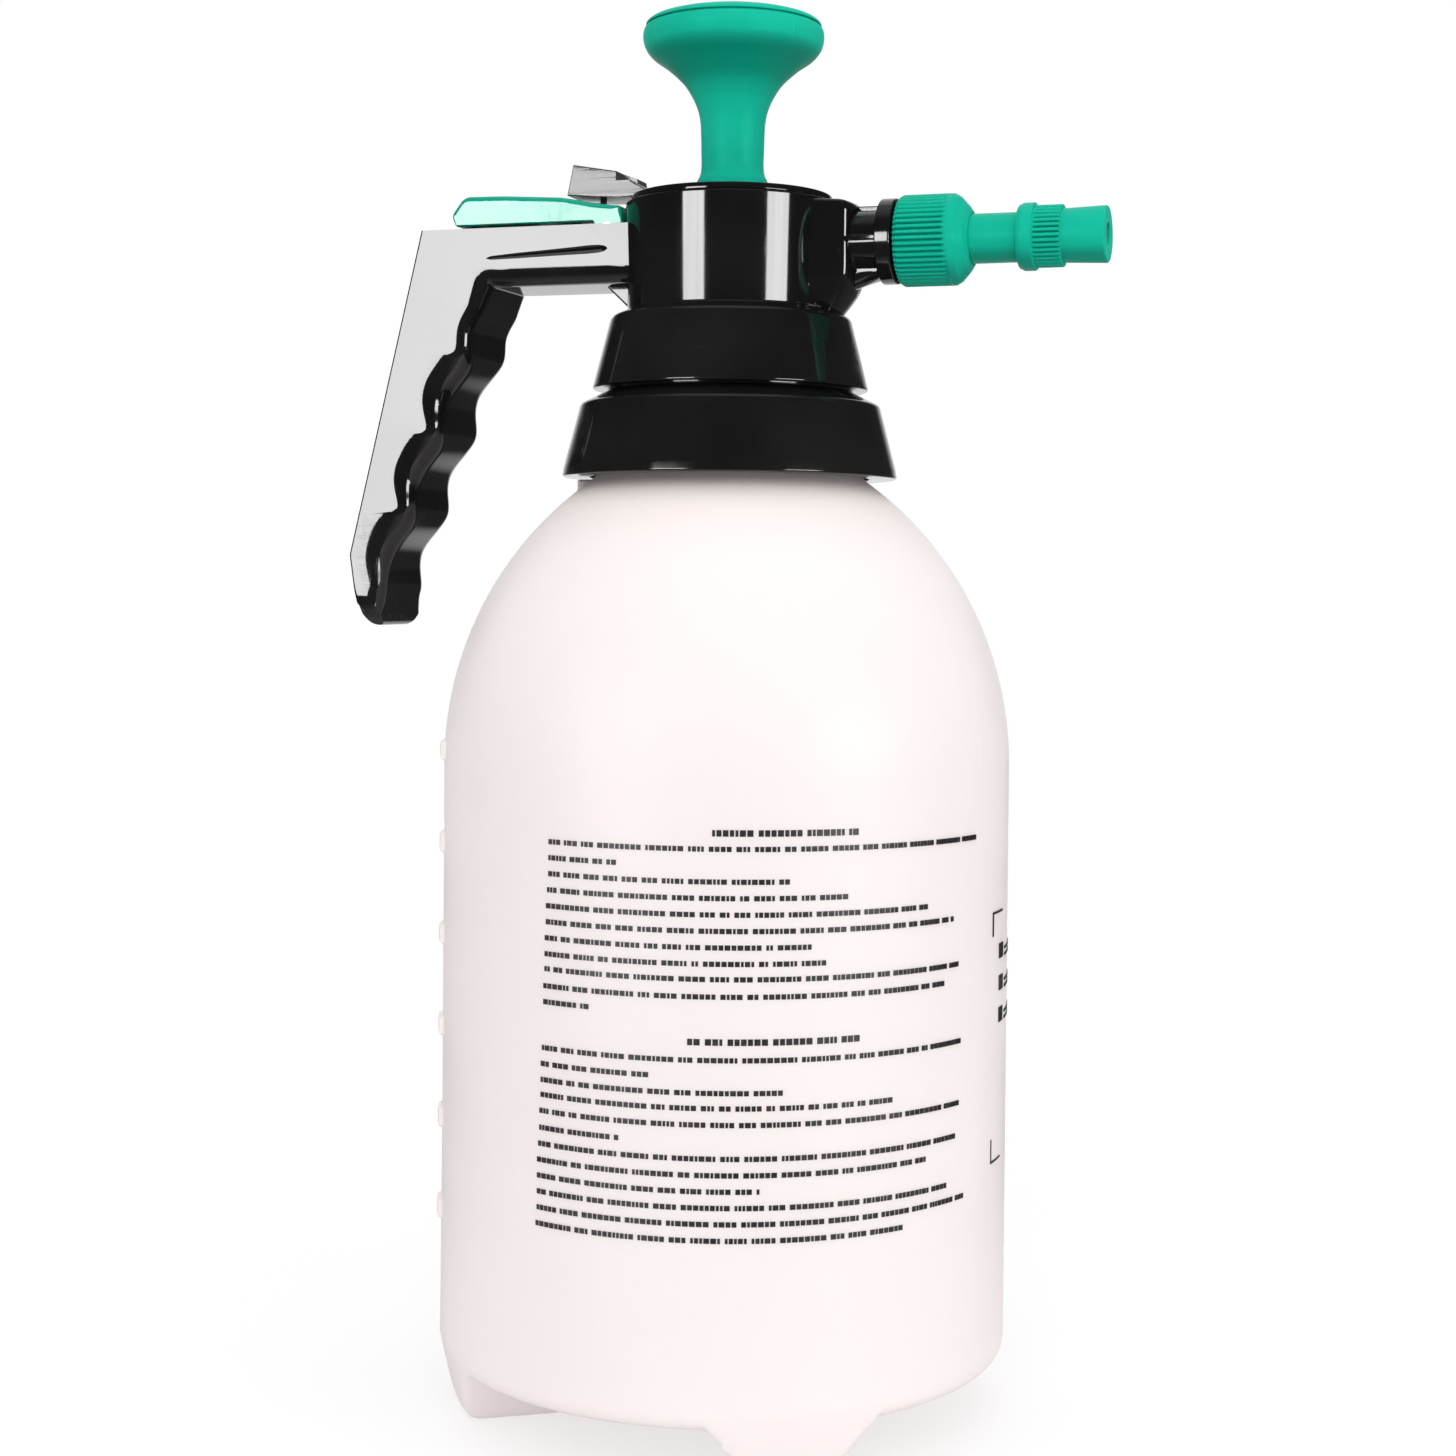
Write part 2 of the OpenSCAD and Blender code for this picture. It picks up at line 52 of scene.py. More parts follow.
VIEW_AZIMUTH = 18           # camera direction in degrees, from -Y towards +X
VIEW_ANGLE = math.radians(VIEW_AZIMUTH - 90)    # the same direction as an angle about +Z
ROD_R = 5.0
ROD_BORE_R = 5.05           # hole for the rod in the knob and the cap


# ------------------------------------------------------------------ mesh tools

def tidy(ob, sharp=35.0, smooth=True, merge=0.0):
    """Points normals outwards, marks sharp edges and can merge vertices closer than merge mm."""
    bm = bmesh.new()
    bm.from_mesh(ob.data)
    if merge:
        bmesh.ops.remove_doubles(bm, verts=bm.verts, dist=merge * MM)
        bmesh.ops.dissolve_degenerate(bm, edges=bm.edges, dist=merge * MM)
    bmesh.ops.recalc_face_normals(bm, faces=bm.faces)
    bm.to_mesh(ob.data)
    bm.free()
    ob.data.polygons.foreach_set("use_smooth", [smooth] * len(ob.data.polygons))
    ob.data.set_sharp_from_angle(angle=math.radians(sharp))
    ob.data.update()


def link_object(name, data):
    ob = bpy.data.objects.new(name, data)
    bpy.context.scene.collection.objects.link(ob)
    return ob


def new_obj(name, verts, faces, sharp=35.0, smooth=True):
    """A mesh object from millimetre coordinates."""
    mesh = bpy.data.meshes.new(name)
    mesh.from_pydata([tuple(c * MM for c in v) for v in verts], [], faces)
    mesh.validate()
    ob = link_object(name, mesh)
    tidy(ob, sharp, smooth)
    return ob


def fillet(corners, steps=6):
    """Polyline of (a, b, radius): each inner corner becomes an arc of that radius."""
    out = []
    for i, (x, y, radius) in enumerate(corners):
        if radius <= 0 or i == 0 or i == len(corners) - 1:
            out.append((x, y))
            continue
        corner = Vector((x, y))
        back = Vector(corners[i - 1][:2]) - corner
        ahead = Vector(corners[i + 1][:2]) - corner
        back_len, ahead_len = back.length, ahead.length
        back.normalize()
        ahead.normalize()
        half = math.acos(max(-1, min(1, back.dot(ahead)))) / 2
        trim = min(radius / math.tan(half), back_len * 0.49, ahead_len * 0.49)
        fitted = trim * math.tan(half)
        centre = corner + (back + ahead).normalized() * (fitted / math.sin(half))
        start = corner + back * trim - centre
        end = corner + ahead * trim - centre
        sweep = math.acos(max(-1, min(1, start.normalized().dot(end.normalized()))))
        for j in range(steps + 1):
            f = j / steps
            arm = start * math.sin((1 - f) * sweep) + end * math.sin(f * sweep)
            arm = arm / math.sin(sweep)
            out.append((centre.x + arm.x, centre.y + arm.y))
    return out


def spline(points, steps=6):
    """Catmull-Rom curve through (a, b) points."""
    knots = [Vector(p) for p in points]
    knots = [knots[0] * 2 - knots[1]] + knots + [knots[-1] * 2 - knots[-2]]
    out = []
    for i in range(1, len(knots) - 2):
        a, b, c, d = knots[i - 1:i + 3]
        for j in range(steps):
            t = j / steps
            q = 0.5 * ((2 * b) + (c - a) * t + (2 * a - 5 * b + 4 * c - d) * t * t
                       + (3 * b - a - 3 * c + d) * t ** 3)
            out.append((q.x, q.y))
    out.append(tuple(knots[-2]))
    return out


def resample(outline, step):
    """Near-even points along a closed outline; its corners stay."""
    out = []
    for i, point in enumerate(outline):
        a, b = Vector(point), Vector(outline[(i + 1) % len(outline)])
        count = max(1, int(round((b - a).length / step)))
        out += [tuple(a + (b - a) * (j / count)) for j in range(count)]
    return out


def densify(profile, length, step=0.4):
    """Splits profile edges; length(dr, dz) measures an edge."""
    out = []
    for a, b in zip(profile, profile[1:]):
        count = max(1, int(length(b[0] - a[0], b[1] - a[1]) / step))
        out += [(a[0] + (b[0] - a[0]) * j / count, a[1] + (b[1] - a[1]) * j / count)
                for j in range(count)]
    out.append(profile[-1])
    return out


def bridge(rows, loop=False):
    """Faces between rings of vertex numbers; a ring of one vertex is a pole."""
    faces = []
    for i in range(len(rows) if loop else len(rows) - 1):
        a, b = rows[i], rows[(i + 1) % len(rows)]
        seg = max(len(a), len(b))
        for k in range(seg):
            k2 = (k + 1) % seg
            if len(a) == 1:
                faces.append((a[0], b[k], b[k2]))
            elif len(b) == 1:
                faces.append((a[k], b[0], a[k2]))
            else:
                faces.append((a[k], b[k], b[k2], a[k2]))
    return faces


def revolve(profile, seg, loop=False, radius_at=None):
    """Turns (r, z) points about z. loop joins the last point to the first.
    radius_at(r, z, angle) can change a radius."""
    verts, rows = [], []
    for r, z in profile:
        if r < 1e-5:
            rows.append([len(verts)])
            verts.append((0.0, 0.0, z))
            continue
        rows.append([len(verts) + k for k in range(seg)])
        for k in range(seg):
            a = 2 * PI * k / seg
            q = radius_at(r, z, a) if radius_at else r
            verts.append((q * math.cos(a), q * math.sin(a), z))
    return verts, bridge(rows, loop)


def lathe(name, profile, seg, loop=False, radius_at=None, outlet_x=None, sharp=35.0):
    """A turned piece on +Z or, given outlet_x, on the outlet axis and starting there."""
    verts, faces = revolve(profile, seg, loop, radius_at)
    if outlet_x is not None:
        verts = [(outlet_x + z, y, OUTLET_Z - x) for x, y, z in verts]
    return new_obj(name, verts, faces, sharp)


def boolean(ob, tool, operation):
    """Applies tool to ob, and the tool goes away."""
    mod = ob.modifiers.new("b", "BOOLEAN")
    mod.operation = operation
    mod.object = tool
    mod.solver = "MANIFOLD"
    graph = bpy.context.evaluated_depsgraph_get()
    mesh = bpy.data.meshes.new_from_object(
        ob.evaluated_get(graph), preserve_all_data_layers=True, depsgraph=graph)
    ob.modifiers.clear()
    old = ob.data
    ob.data = mesh
    bpy.data.meshes.remove(old)
    bpy.data.objects.remove(tool, do_unlink=True)


def cut(ob, tool):
    boolean(ob, tool, "DIFFERENCE")


def join(ob, tool):
    boolean(ob, tool, "UNION")


def fill_cap(points, index):
    """Triangles that fill a closed outline; index holds the points' vertex numbers."""
    verts, _, faces, origin, _, _ = delaunay_2d_cdt(
        [Vector(p) for p in points], [], [list(range(len(points)))], 1, 1e-7)
    if len(verts) == len(points) and all(len(o) == 1 for o in origin):
        return [tuple(index[origin[i][0]] for i in f) for f in faces]
    # the outline touches itself: fill it without merging points
    flat = [Vector((p[0], p[1], 0)) for p in points]
    return [tuple(index[i] for i in t) for t in tessellate_polygon([flat])]


def slab(name, outline, width, edge_radius, steps=5, sharp=32.0):
    """A plate drawn in x and z and centred on y = 0, with rounded side edges.
    width and edge_radius are numbers or functions of x and z."""
    if sum(a[0] * b[1] - b[0] * a[1] for a, b in zip(outline[-1:] + outline, outline)) < 0:
        outline = outline[::-1]
    m = len(outline)
    P = [Vector(p) for p in outline]
    inward = []
    for i in range(m):
        along = (P[(i + 1) % m] - P[i]).normalized() + (P[i] - P[i - 1]).normalized()
        along.normalize()
        inward.append(Vector((-along.y, along.x)))
    R = [edge_radius(*p) if callable(edge_radius) else edge_radius for p in outline]
    W = [width(*p) if callable(width) else width for p in outline]
    # ease the radius wherever the inset outline would fold over itself
    for _ in range(200):
        inset = [P[i] + inward[i] * R[i] for i in range(m)]
        bad = []
        for i in range(m):
            edge = P[(i + 1) % m] - P[i]
            if (inset[(i + 1) % m] - inset[i]).dot(edge) < 0.12 * edge.length_squared:
                bad.append(i)
        if not bad:
            break
        for i in bad:
            for k in (-1, 0, 1, 2):
                R[(i + k) % m] *= 0.9
        R = [0.25 * R[i - 1] + 0.5 * R[i] + 0.25 * R[(i + 1) % m] for i in range(m)]
    verts, faces, rings = [], [], []
    levels = [(1, j) for j in range(steps, -1, -1)] + [(-1, j) for j in range(steps + 1)]
    for side, j in levels:
        turn = PI / 2 * j / steps
        rings.append([len(verts) + i for i in range(m)])
        for i in range(m):
            q = P[i] + inward[i] * (R[i] * (1 - math.cos(turn)))
            verts.append((q.x, side * (W[i] / 2 - R[i] * (1 - math.sin(turn))), q.y))
    for a, b in zip(rings, rings[1:]):
        for k in range(m):
            k2 = (k + 1) % m
            faces.append((a[k], a[k2], b[k2], b[k]))
    for ring in (rings[0], rings[-1]):
        faces += fill_cap([(verts[i][0], verts[i][2]) for i in ring], ring)
    return new_obj(name, verts, faces, sharp)


def block(name, xs, ys, zs, soften=0.0):
    """A box between pairs of coordinates, with softened edges."""
    bm = bmesh.new()
    bmesh.ops.create_cube(bm, size=1.0)
    for v in bm.verts:
        v.co = Vector([ends[0] if c < 0 else ends[1] for c, ends in zip(v.co, (xs, ys, zs))]) * MM
    if soften:
        bmesh.ops.bevel(bm, geom=list(bm.edges), offset=soften * MM, segments=3,
                        profile=0.5, affect="EDGES")
    mesh = bpy.data.meshes.new(name)
    bm.to_mesh(mesh)
    bm.free()
    ob = link_object(name, mesh)
    tidy(ob, 32.0)
    return ob


def rod(name, radius, start, end, seg=64):
    """A round rod between two points."""
    start, axis = Vector(start), Vector(end) - Vector(start)
    length = axis.length
    verts, faces = revolve([(0, 0), (radius, 0), (radius, length), (0, length)], seg)
    turn = axis.to_track_quat("Z", "Y")
    return new_obj(name, [tuple(start + turn @ Vector(v)) for v in verts], faces)


# ------------------------------------------------------------------ shader tools

class Shader:
    """Builds one node tree."""

    def __init__(self, tree, output_kind):
        self.tree = tree
        tree.nodes.clear()
        self.output = self.node(output_kind)

    def node(self, kind):
        return self.tree.nodes.new(kind)

    def link(self, a, b):
        self.tree.links.new(a, b)

    def coords(self, kind):
        return self.node("ShaderNodeTexCoord").outputs[kind]

    def split(self, vector):
        node = self.node("ShaderNodeSeparateXYZ")
        self.link(vector, node.inputs[0])
        return node.outputs

    def math(self, operation, *values, clamp=False):
        node = self.node("ShaderNodeMath")
        node.operation = operation
        node.use_clamp = clamp
        for i, v in enumerate(values):
            if isinstance(v, (int, float)):
                node.inputs[i].default_value = v
            else:
                self.link(v, node.inputs[i])
        return node.outputs[0]

    def mul(self, a, b):
        return self.math("MULTIPLY", a, b)

    def add(self, a, b, clamp=False):
        return self.math("ADD", a, b, clamp=clamp)

    def invert(self, value):
        return self.math("SUBTRACT", 1.0, value)

    def ramp(self, value, start, end, low=0.0, high=1.0):
        """Eases from low to high while value goes from start to end."""
        node = self.node("ShaderNodeMapRange")
        node.interpolation_type = "SMOOTHSTEP"
        self.link(value, node.inputs["Value"])
        for key, v in (("From Min", start), ("From Max", end), ("To Min", low), ("To Max", high)):
            node.inputs[key].default_value = v
        return node.outputs[0]

    def mix(self, factor, a, b):
        """Mixes two colours, each a socket or an RGB tuple."""
        node = self.node("ShaderNodeMix")
        node.data_type = "RGBA"
        self.link(factor, node.inputs["Factor"])
        for key, v in (("A", a), ("B", b)):
            socket = [s for s in node.inputs if s.name == key and s.type == "RGBA"][0]
            if isinstance(v, tuple):
                socket.default_value = (*v, 1.0)
            else:
                self.link(v, socket)
        return [s for s in node.outputs if s.type == "RGBA"][0]

    def noise(self, coords, scale, detail, rough, stretch=None):
        if stretch:
            mapping = self.node("ShaderNodeMapping")
            mapping.inputs["Scale"].default_value = stretch
            self.link(coords, mapping.inputs["Vector"])
            coords = mapping.outputs[0]
        node = self.node("ShaderNodeTexNoise")
        node.inputs["Scale"].default_value = scale
        node.inputs["Detail"].default_value = detail
        node.inputs["Roughness"].default_value = rough
        self.link(coords, node.inputs["Vector"])
        return node.outputs["Fac"]

    def bump(self, height, normal, strength, distance):
        node = self.node("ShaderNodeBump")
        node.inputs["Strength"].default_value = strength
        node.inputs["Distance"].default_value = distance
        self.link(height, node.inputs["Height"])
        self.link(node.outputs[0], normal)


def material_shader(name):
    material = bpy.data.materials.new(name)
    material.use_nodes = True
    shader = Shader(material.node_tree, "ShaderNodeOutputMaterial")
    shader.material = material
    return shader


# ------------------------------------------------------------------ materials

def plastic(name, base, *, rough, shade, peel, scuff, wear, wear_amount, flow=0.0,
            scatter=0.0, scatter_radius=None, specular=0.5, under=0.0):
    """Moulded plastic.
    shade: lightness variation; peel: surface unevenness; scuff: scratch strength;
    wear: colour of rubbed edges; flow: pale streaks; under: painted shade, a darker colour on faces
    that look down."""
    S = material_shader(name)
    coords = S.coords("Object")
    geometry = S.node("ShaderNodeNewGeometry")
    surface = S.node("ShaderNodeBsdfPrincipled")
    broad = S.noise(coords, scale=28.0, detail=3.0, rough=0.55)
    fine = S.noise(coords, scale=420.0, detail=2.0, rough=0.6)
    dark = tuple(c * (1 - shade) for c in base)
    light = tuple(min(1.0, c * (1 + shade) + 0.0008) for c in base)
    color = S.mix(S.ramp(broad, start=0.32, end=0.68), dark, light)
    if flow:
        streaks = S.noise(coords, scale=9.0, detail=5.0, rough=0.7, stretch=(1.0, 1.0, 14.0))
        color = S.mix(S.ramp(streaks, start=0.45, end=0.75, high=flow), color,
                      tuple(min(1, c * 1.25) for c in base))
    # rubbed edges
    edge = S.ramp(geometry.outputs["Pointiness"], start=0.52, end=0.60)
    grit = S.ramp(fine, start=0.45, end=0.62)
    color = S.mix(S.mul(S.mul(edge, grit), wear_amount), color, wear)
    # hair scratches: the thin middle band of noise stretched in two directions
    hairs = []
    for stretch, band in (((900.0, 900.0, 26.0), 0.018), ((60.0, 950.0, 700.0), 0.014)):
        field = S.noise(coords, scale=1.0, detail=2.0, rough=0.5, stretch=stretch)
        distance = S.math("ABSOLUTE", S.math("SUBTRACT", field, 0.5))
        hairs.append(S.invert(S.ramp(distance, start=0.0, end=band)))
    patch = S.ramp(S.noise(coords, scale=55.0, detail=3.0, rough=0.6), start=0.56, end=0.72)
    scratch = S.mul(S.math("MAXIMUM", *hairs), patch)
    smudge = S.ramp(S.noise(coords, scale=130.0, detail=4.0, rough=0.65), start=0.5, end=0.8)
    gloss = S.ramp(broad, start=0.3, end=0.7, low=rough * 0.8, high=rough * 1.2)
    gloss = S.add(gloss, S.mul(scratch, 0.22 * scuff), clamp=True)
    gloss = S.add(gloss, S.mul(smudge, 0.10 * scuff), clamp=True)
    S.link(gloss, surface.inputs["Roughness"])
    height = S.add(S.mul(fine, peel), S.mul(scratch, -0.03 * scuff))
    swell = S.noise(coords, scale=70.0, detail=2.0, rough=0.5)
    height = S.add(height, S.mul(swell, peel * 4.0))
    S.bump(height, surface.inputs["Normal"], strength=0.55, distance=0.0006)
    surface.inputs["IOR"].default_value = 1.5
    surface.inputs["Specular IOR Level"].default_value = specular
    if scatter:
        surface.inputs["Subsurface Weight"].default_value = scatter
        surface.inputs["Subsurface Scale"].default_value = 1.0
        surface.inputs["Subsurface Radius"].default_value = scatter_radius
    # painted shade: faces that look down get a colour darkened towards 0.35 of the base
    if under:
        facing = S.split(geometry.outputs["Normal"])["Z"]
        shadow = S.ramp(facing, start=-0.82, end=-0.35, low=under, high=0.0)
        color = S.mix(shadow, color, tuple(c * 0.35 for c in base))
    S.link(color, surface.inputs["Base Color"])
    S.link(surface.outputs[0], S.output.inputs["Surface"])
    S.surface, S.color, S.object_coords = surface, color, coords
    return S


def bottle_material():
    S = plastic("natural_hdpe", (0.905, 0.815, 0.810), rough=0.42, shade=0.006, peel=0.02,
                scuff=0.25, wear=(0.97, 0.95, 0.94), wear_amount=0.15, specular=0.22,
                scatter=0.22, scatter_radius=(0.006, 0.005, 0.0048))
    S.surface.inputs["Subsurface Anisotropy"].default_value = 0.2
    # pale clouds, and a darker, warmer tone near the collar
    top = S.ramp(S.split(S.object_coords)["Z"], start=0.186, end=0.206)
    cloud = S.noise(S.object_coords, scale=11.0, detail=3.0, rough=0.55)
    cloud = S.ramp(cloud, start=0.35, end=0.7)
    color = S.mix(S.mul(cloud, 0.5), S.color, (0.915, 0.845, 0.835))
    color = S.mix(S.mul(top, 0.6), color, (0.80, 0.72, 0.68))
    S.link(color, S.surface.inputs["Base Color"])
    return S


def ink_material():
    """Black ink, speckled and a little faded in patches."""
    S = material_shader("printing_ink")
    coords = S.coords("Object")
    surface = S.node("ShaderNodeBsdfPrincipled")
    speckle = S.noise(coords, scale=1400.0, detail=3.0, rough=0.7)
    faded = S.noise(coords, scale=90.0, detail=3.0, rough=0.6)
    color = S.mix(S.ramp(speckle, start=0.55, end=0.75),
                  (0.012, 0.012, 0.013), (0.06, 0.057, 0.057))
    color = S.mix(S.ramp(faded, start=0.55, end=0.8, high=0.35), color, (0.11, 0.10, 0.10))
    S.link(color, surface.inputs["Base Color"])
    S.link(S.ramp(speckle, start=0.3, end=0.7, low=0.35, high=0.6), surface.inputs["Roughness"])
    S.bump(speckle, surface.inputs["Normal"], strength=0.3, distance=0.00005)
    S.link(surface.outputs[0], S.output.inputs["Surface"])
    return S


# under=0.60 paints shade onto the downward faces of the green parts
GREEN = plastic("green_plastic", (0.0040, 0.440, 0.300), rough=0.40, shade=0.05, peel=0.010,
                scuff=0.35, wear=(0.22, 0.60, 0.45), wear_amount=0.20, flow=0.10,
                specular=0.06, under=0.60)
BLACK = plastic("black_plastic", (0.0075, 0.0075, 0.0078), rough=0.085, shade=0.25, peel=0.006,
                scuff=0.55, wear=(0.10, 0.10, 0.10), wear_amount=0.30)
WHITE = plastic("white_plastic", (0.74, 0.73, 0.70), rough=0.36, shade=0.03, peel=0.015,
                scuff=0.4, wear=(0.85, 0.85, 0.83), wear_amount=0.2,
                scatter=0.25, scatter_radius=(0.002, 0.002, 0.0018))
RUBBER = plastic("rubber_seal", (0.018, 0.018, 0.019), rough=0.62, shade=0.2, peel=0.05,
                 scuff=0.2, wear=(0.06, 0.06, 0.06), wear_amount=0.3)
STEEL = plastic("steel", (0.52, 0.53, 0.55), rough=0.26, shade=0.06, peel=0.01,
                scuff=0.8, wear=(0.7, 0.7, 0.7), wear_amount=0.3)
STEEL.surface.inputs["Metallic"].default_value = 1.0
BOTTLE = bottle_material()
INK = ink_material()
LOCK_BLACK = plastic("black_plastic_lock", (0.060, 0.056, 0.056), rough=0.20, shade=0.35,
                     peel=0.010, scuff=0.6, wear=(0.14, 0.14, 0.14), wear_amount=0.5)
LEVER_GREEN = plastic("green_plastic_lever", (0.0015, 0.33, 0.22), rough=0.12, shade=0.05,
                      peel=0.012, scuff=0.6, wear=(0.25, 0.62, 0.46), wear_amount=0.3, flow=0.10)


def finish_piece(ob, shader, body, slot, *nodes, weigh=True):
    ob.data.materials.clear()
    ob.data.materials.append(shader.material)
    if weigh:
        mod = ob.modifiers.new("flat faces stay flat", "WEIGHTED_NORMAL")
        mod.keep_sharp = True
        mod.weight = 60
    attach(ob, body)
    if nodes:
        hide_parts(*nodes)


# ------------------------------------------------------------------ bottle

BODY_R = 63.0
WALL = 2.0
FLOOR_WALL = 2.2
BOTTLE_SEG = 384
SHOULDER_R = 77.1                       # the shoulder is an arc that runs on from the wall
SHOULDER_CENTRE = BODY_R - SHOULDER_R
SHOULDER_Z = 142.5
SHOULDER_TOP_R = 31.2
FOOT_ANGLE = math.radians(-58)          # first of four feet
PAD_START, PAD_END, PAD_HALF = 39.5, 60.0, 4.6      # flat of a foot: radial reach, half width
FLANK_EASE, FLANK_RUN = 2.6, 0.80       # a foot's flank steepens over the first, slope from both
THREAD_Z, THREAD_PITCH, THREAD_TURNS = 208.4, 4.0, 2.2
THREAD_FADE, THREAD_HEIGHT = 0.12, 1.15
THREAD_FLAT, THREAD_FLANK = 0.35, 0.75  # half width of the crest, width of each flank
WOBBLE_PHASE = random.Random(4).uniform(0, 6.28)

# radius, height: the underside between the feet
VALLEY = ((0, 17.5), (12, 17.1), (25, 16.2), (38, 15.0), (50, 13.7), (56, 13.15), (59.8, 13.0),
          (61.2, 13.35), (62.1, 14.1), (62.7, 15.2), (63.0, 16.6))
# radius, height: the lowest the underside reaches, rounding up into the wall
ENVELOPE = ((0, 0), (54, 0), (55.5, 0.12), (57.0, 0.6), (58.3, 1.6), (59.3, 2.9), (60.2, 4.9),
            (61.1, 8.2), (62.0, 12.0), (62.6, 14.6), (63.0, 16.6))


def table_z(r, table):
    return float(np.interp(r, *zip(*table)))


def smooth_min(a, b, blend):
    h = max(0.0, min(1.0, 0.5 + 0.5 * (b - a) / blend))
    return b * (1 - h) + a * h - blend * h * (1 - h)


def base_z(r, a):
    """Height of the footed base at a radius and angle."""
    valley = table_z(r, VALLEY)
    foot = 99.0
    x, y = r * math.cos(a), r * math.sin(a)
    for k in range(4):
        turn = FOOT_ANGLE + k * PI / 2
        along = x * math.cos(turn) + y * math.sin(turn)
        across = -x * math.sin(turn) + y * math.cos(turn)
        beyond = max(PAD_START - along, 0.0, along - PAD_END)
        distance = math.hypot(beyond * (1.0 if along < 45 else 0.3), across)
        flank = max(0.0, distance - PAD_HALF)
        foot = min(foot, flank * flank / (flank + FLANK_EASE) / FLANK_RUN)
    foot = max(foot, table_z(r, ENVELOPE))
    return smooth_min(valley, foot, 1.6) if r < 61.5 else min(valley, foot)


def thread_radius(r, z, a):
    """A helical ridge, faded at both ends."""
    turn = (z - THREAD_Z) / THREAD_PITCH - a / (2 * PI)
    k = round(turn)
    offset = (turn - k) * THREAD_PITCH
    along = k + a / (2 * PI)
    if along < 0.0 or along > THREAD_TURNS:
        return r
    fade = min(1.0, along / THREAD_FADE, (THREAD_TURNS - along) / THREAD_FADE)
    h = max(0.0, 1.0 - max(0.0, abs(offset) - THREAD_FLAT) / THREAD_FLANK)
    return r + THREAD_HEIGHT * fade * h * h * (3 - 2 * h)


def angle_gap(a, b):
    return abs(((a - b + PI) % (2 * PI)) - PI)


def wall_radius(r, z, a):
    """Outer radius: thread on the neck, slight unevenness and parting lines on the body."""
    if 207 < z < 219.1:
        return thread_radius(r, z, a)
    if z >= 200:
        return r
    fade = min(1.0, (z - 16) / 30.0) if z < 46 else min(1.0, (200 - z) / 40.0)
    wobble = math.sin(2 * a + WOBBLE_PHASE + z / 40) + math.sin(3 * a + WOBBLE_PHASE - z / 55)
    q = r + 0.05 * fade * wobble - 0.10 * fade
    for seam in (FOOT_ANGLE + PI / 4, FOOT_ANGLE + PI / 4 + PI):
        q += 0.09 * fade * max(0.0, 1 - angle_gap(a, seam) * r / 0.9)
    return q


def inner_floor(r, a):
    """The inside of the base, kept clear of steep flanks."""
    z = max(base_z(r, a) + FLOOR_WALL, base_z(min(BODY_R, r + 1.2), a) + 1.2)
    return r * (BODY_R - WALL) / BODY_R, min(z, 21.0)


def bottle_shell():
    verts, rows = [(0, 0, base_z(0.01, 0))], [[0]]

    def add_ring(place):
        """place(angle) gives radius and height."""
        rows.append([len(verts) + k for k in range(BOTTLE_SEG)])
        for k in range(BOTTLE_SEG):
            a = 2 * PI * k / BOTTLE_SEG
            r, z = place(a)
            verts.append((r * math.cos(a), r * math.sin(a), z))

    base_radii = [*np.linspace(3, 36, 12), *np.linspace(38, 52, 10), *np.linspace(52.8, 60, 13),
                  60.6, 61.2, 61.8, 62.2, 62.5, 62.75, 62.9, 63.0]
    for r in base_radii:
        add_ring(lambda a: (r, base_z(r, a)))

    # radius, height up the outside
    shoulder_end = math.acos((SHOULDER_TOP_R - SHOULDER_CENTRE) / SHOULDER_R)
    side = [(BODY_R, z) for z in np.linspace(19, 141, 36)]
    side += [(SHOULDER_CENTRE + SHOULDER_R * math.cos(t), SHOULDER_Z + SHOULDER_R * math.sin(t))
             for t in np.linspace(0, shoulder_end, 46)]
    side += [(30.4, 205.6), (29.9, 206.2), (29.5, 206.9)]
    side += [(29.5, z) for z in np.arange(207.2, 219.0, 0.22)]
    side += [(29.4, 219.25), (29.1, 219.5)]
    for r, z in side:
        add_ring(lambda a: (wall_radius(r, z, a), z))

    # radius, height down the inside
    inside_r = SHOULDER_R - WALL
    inside = [(26.7, 219.5), (26.5, 219.2), (26.5, 206)]
    inside += [(SHOULDER_CENTRE + inside_r * math.cos(t), SHOULDER_Z + inside_r * math.sin(t))
               for t in np.linspace(shoulder_end * 0.985, 0, 30)]
    inside += [(BODY_R - WALL, z) for z in np.linspace(138, 22, 14)]
    for r, z in inside:
        add_ring(lambda a: (r, z))
    for r in (63.0, 62.5, 61.5, 60, 58.5, 57, 55, 52.5, 50, 47, 44, 41, 38, 34, 28, 20, 10):
        add_ring(lambda a: inner_floor(r, a))
    rows.append([len(verts)])
    verts.append((0, 0, base_z(0.01, 0) + FLOOR_WALL))
    return new_obj("bottle_shell", verts, bridge(rows), 60)


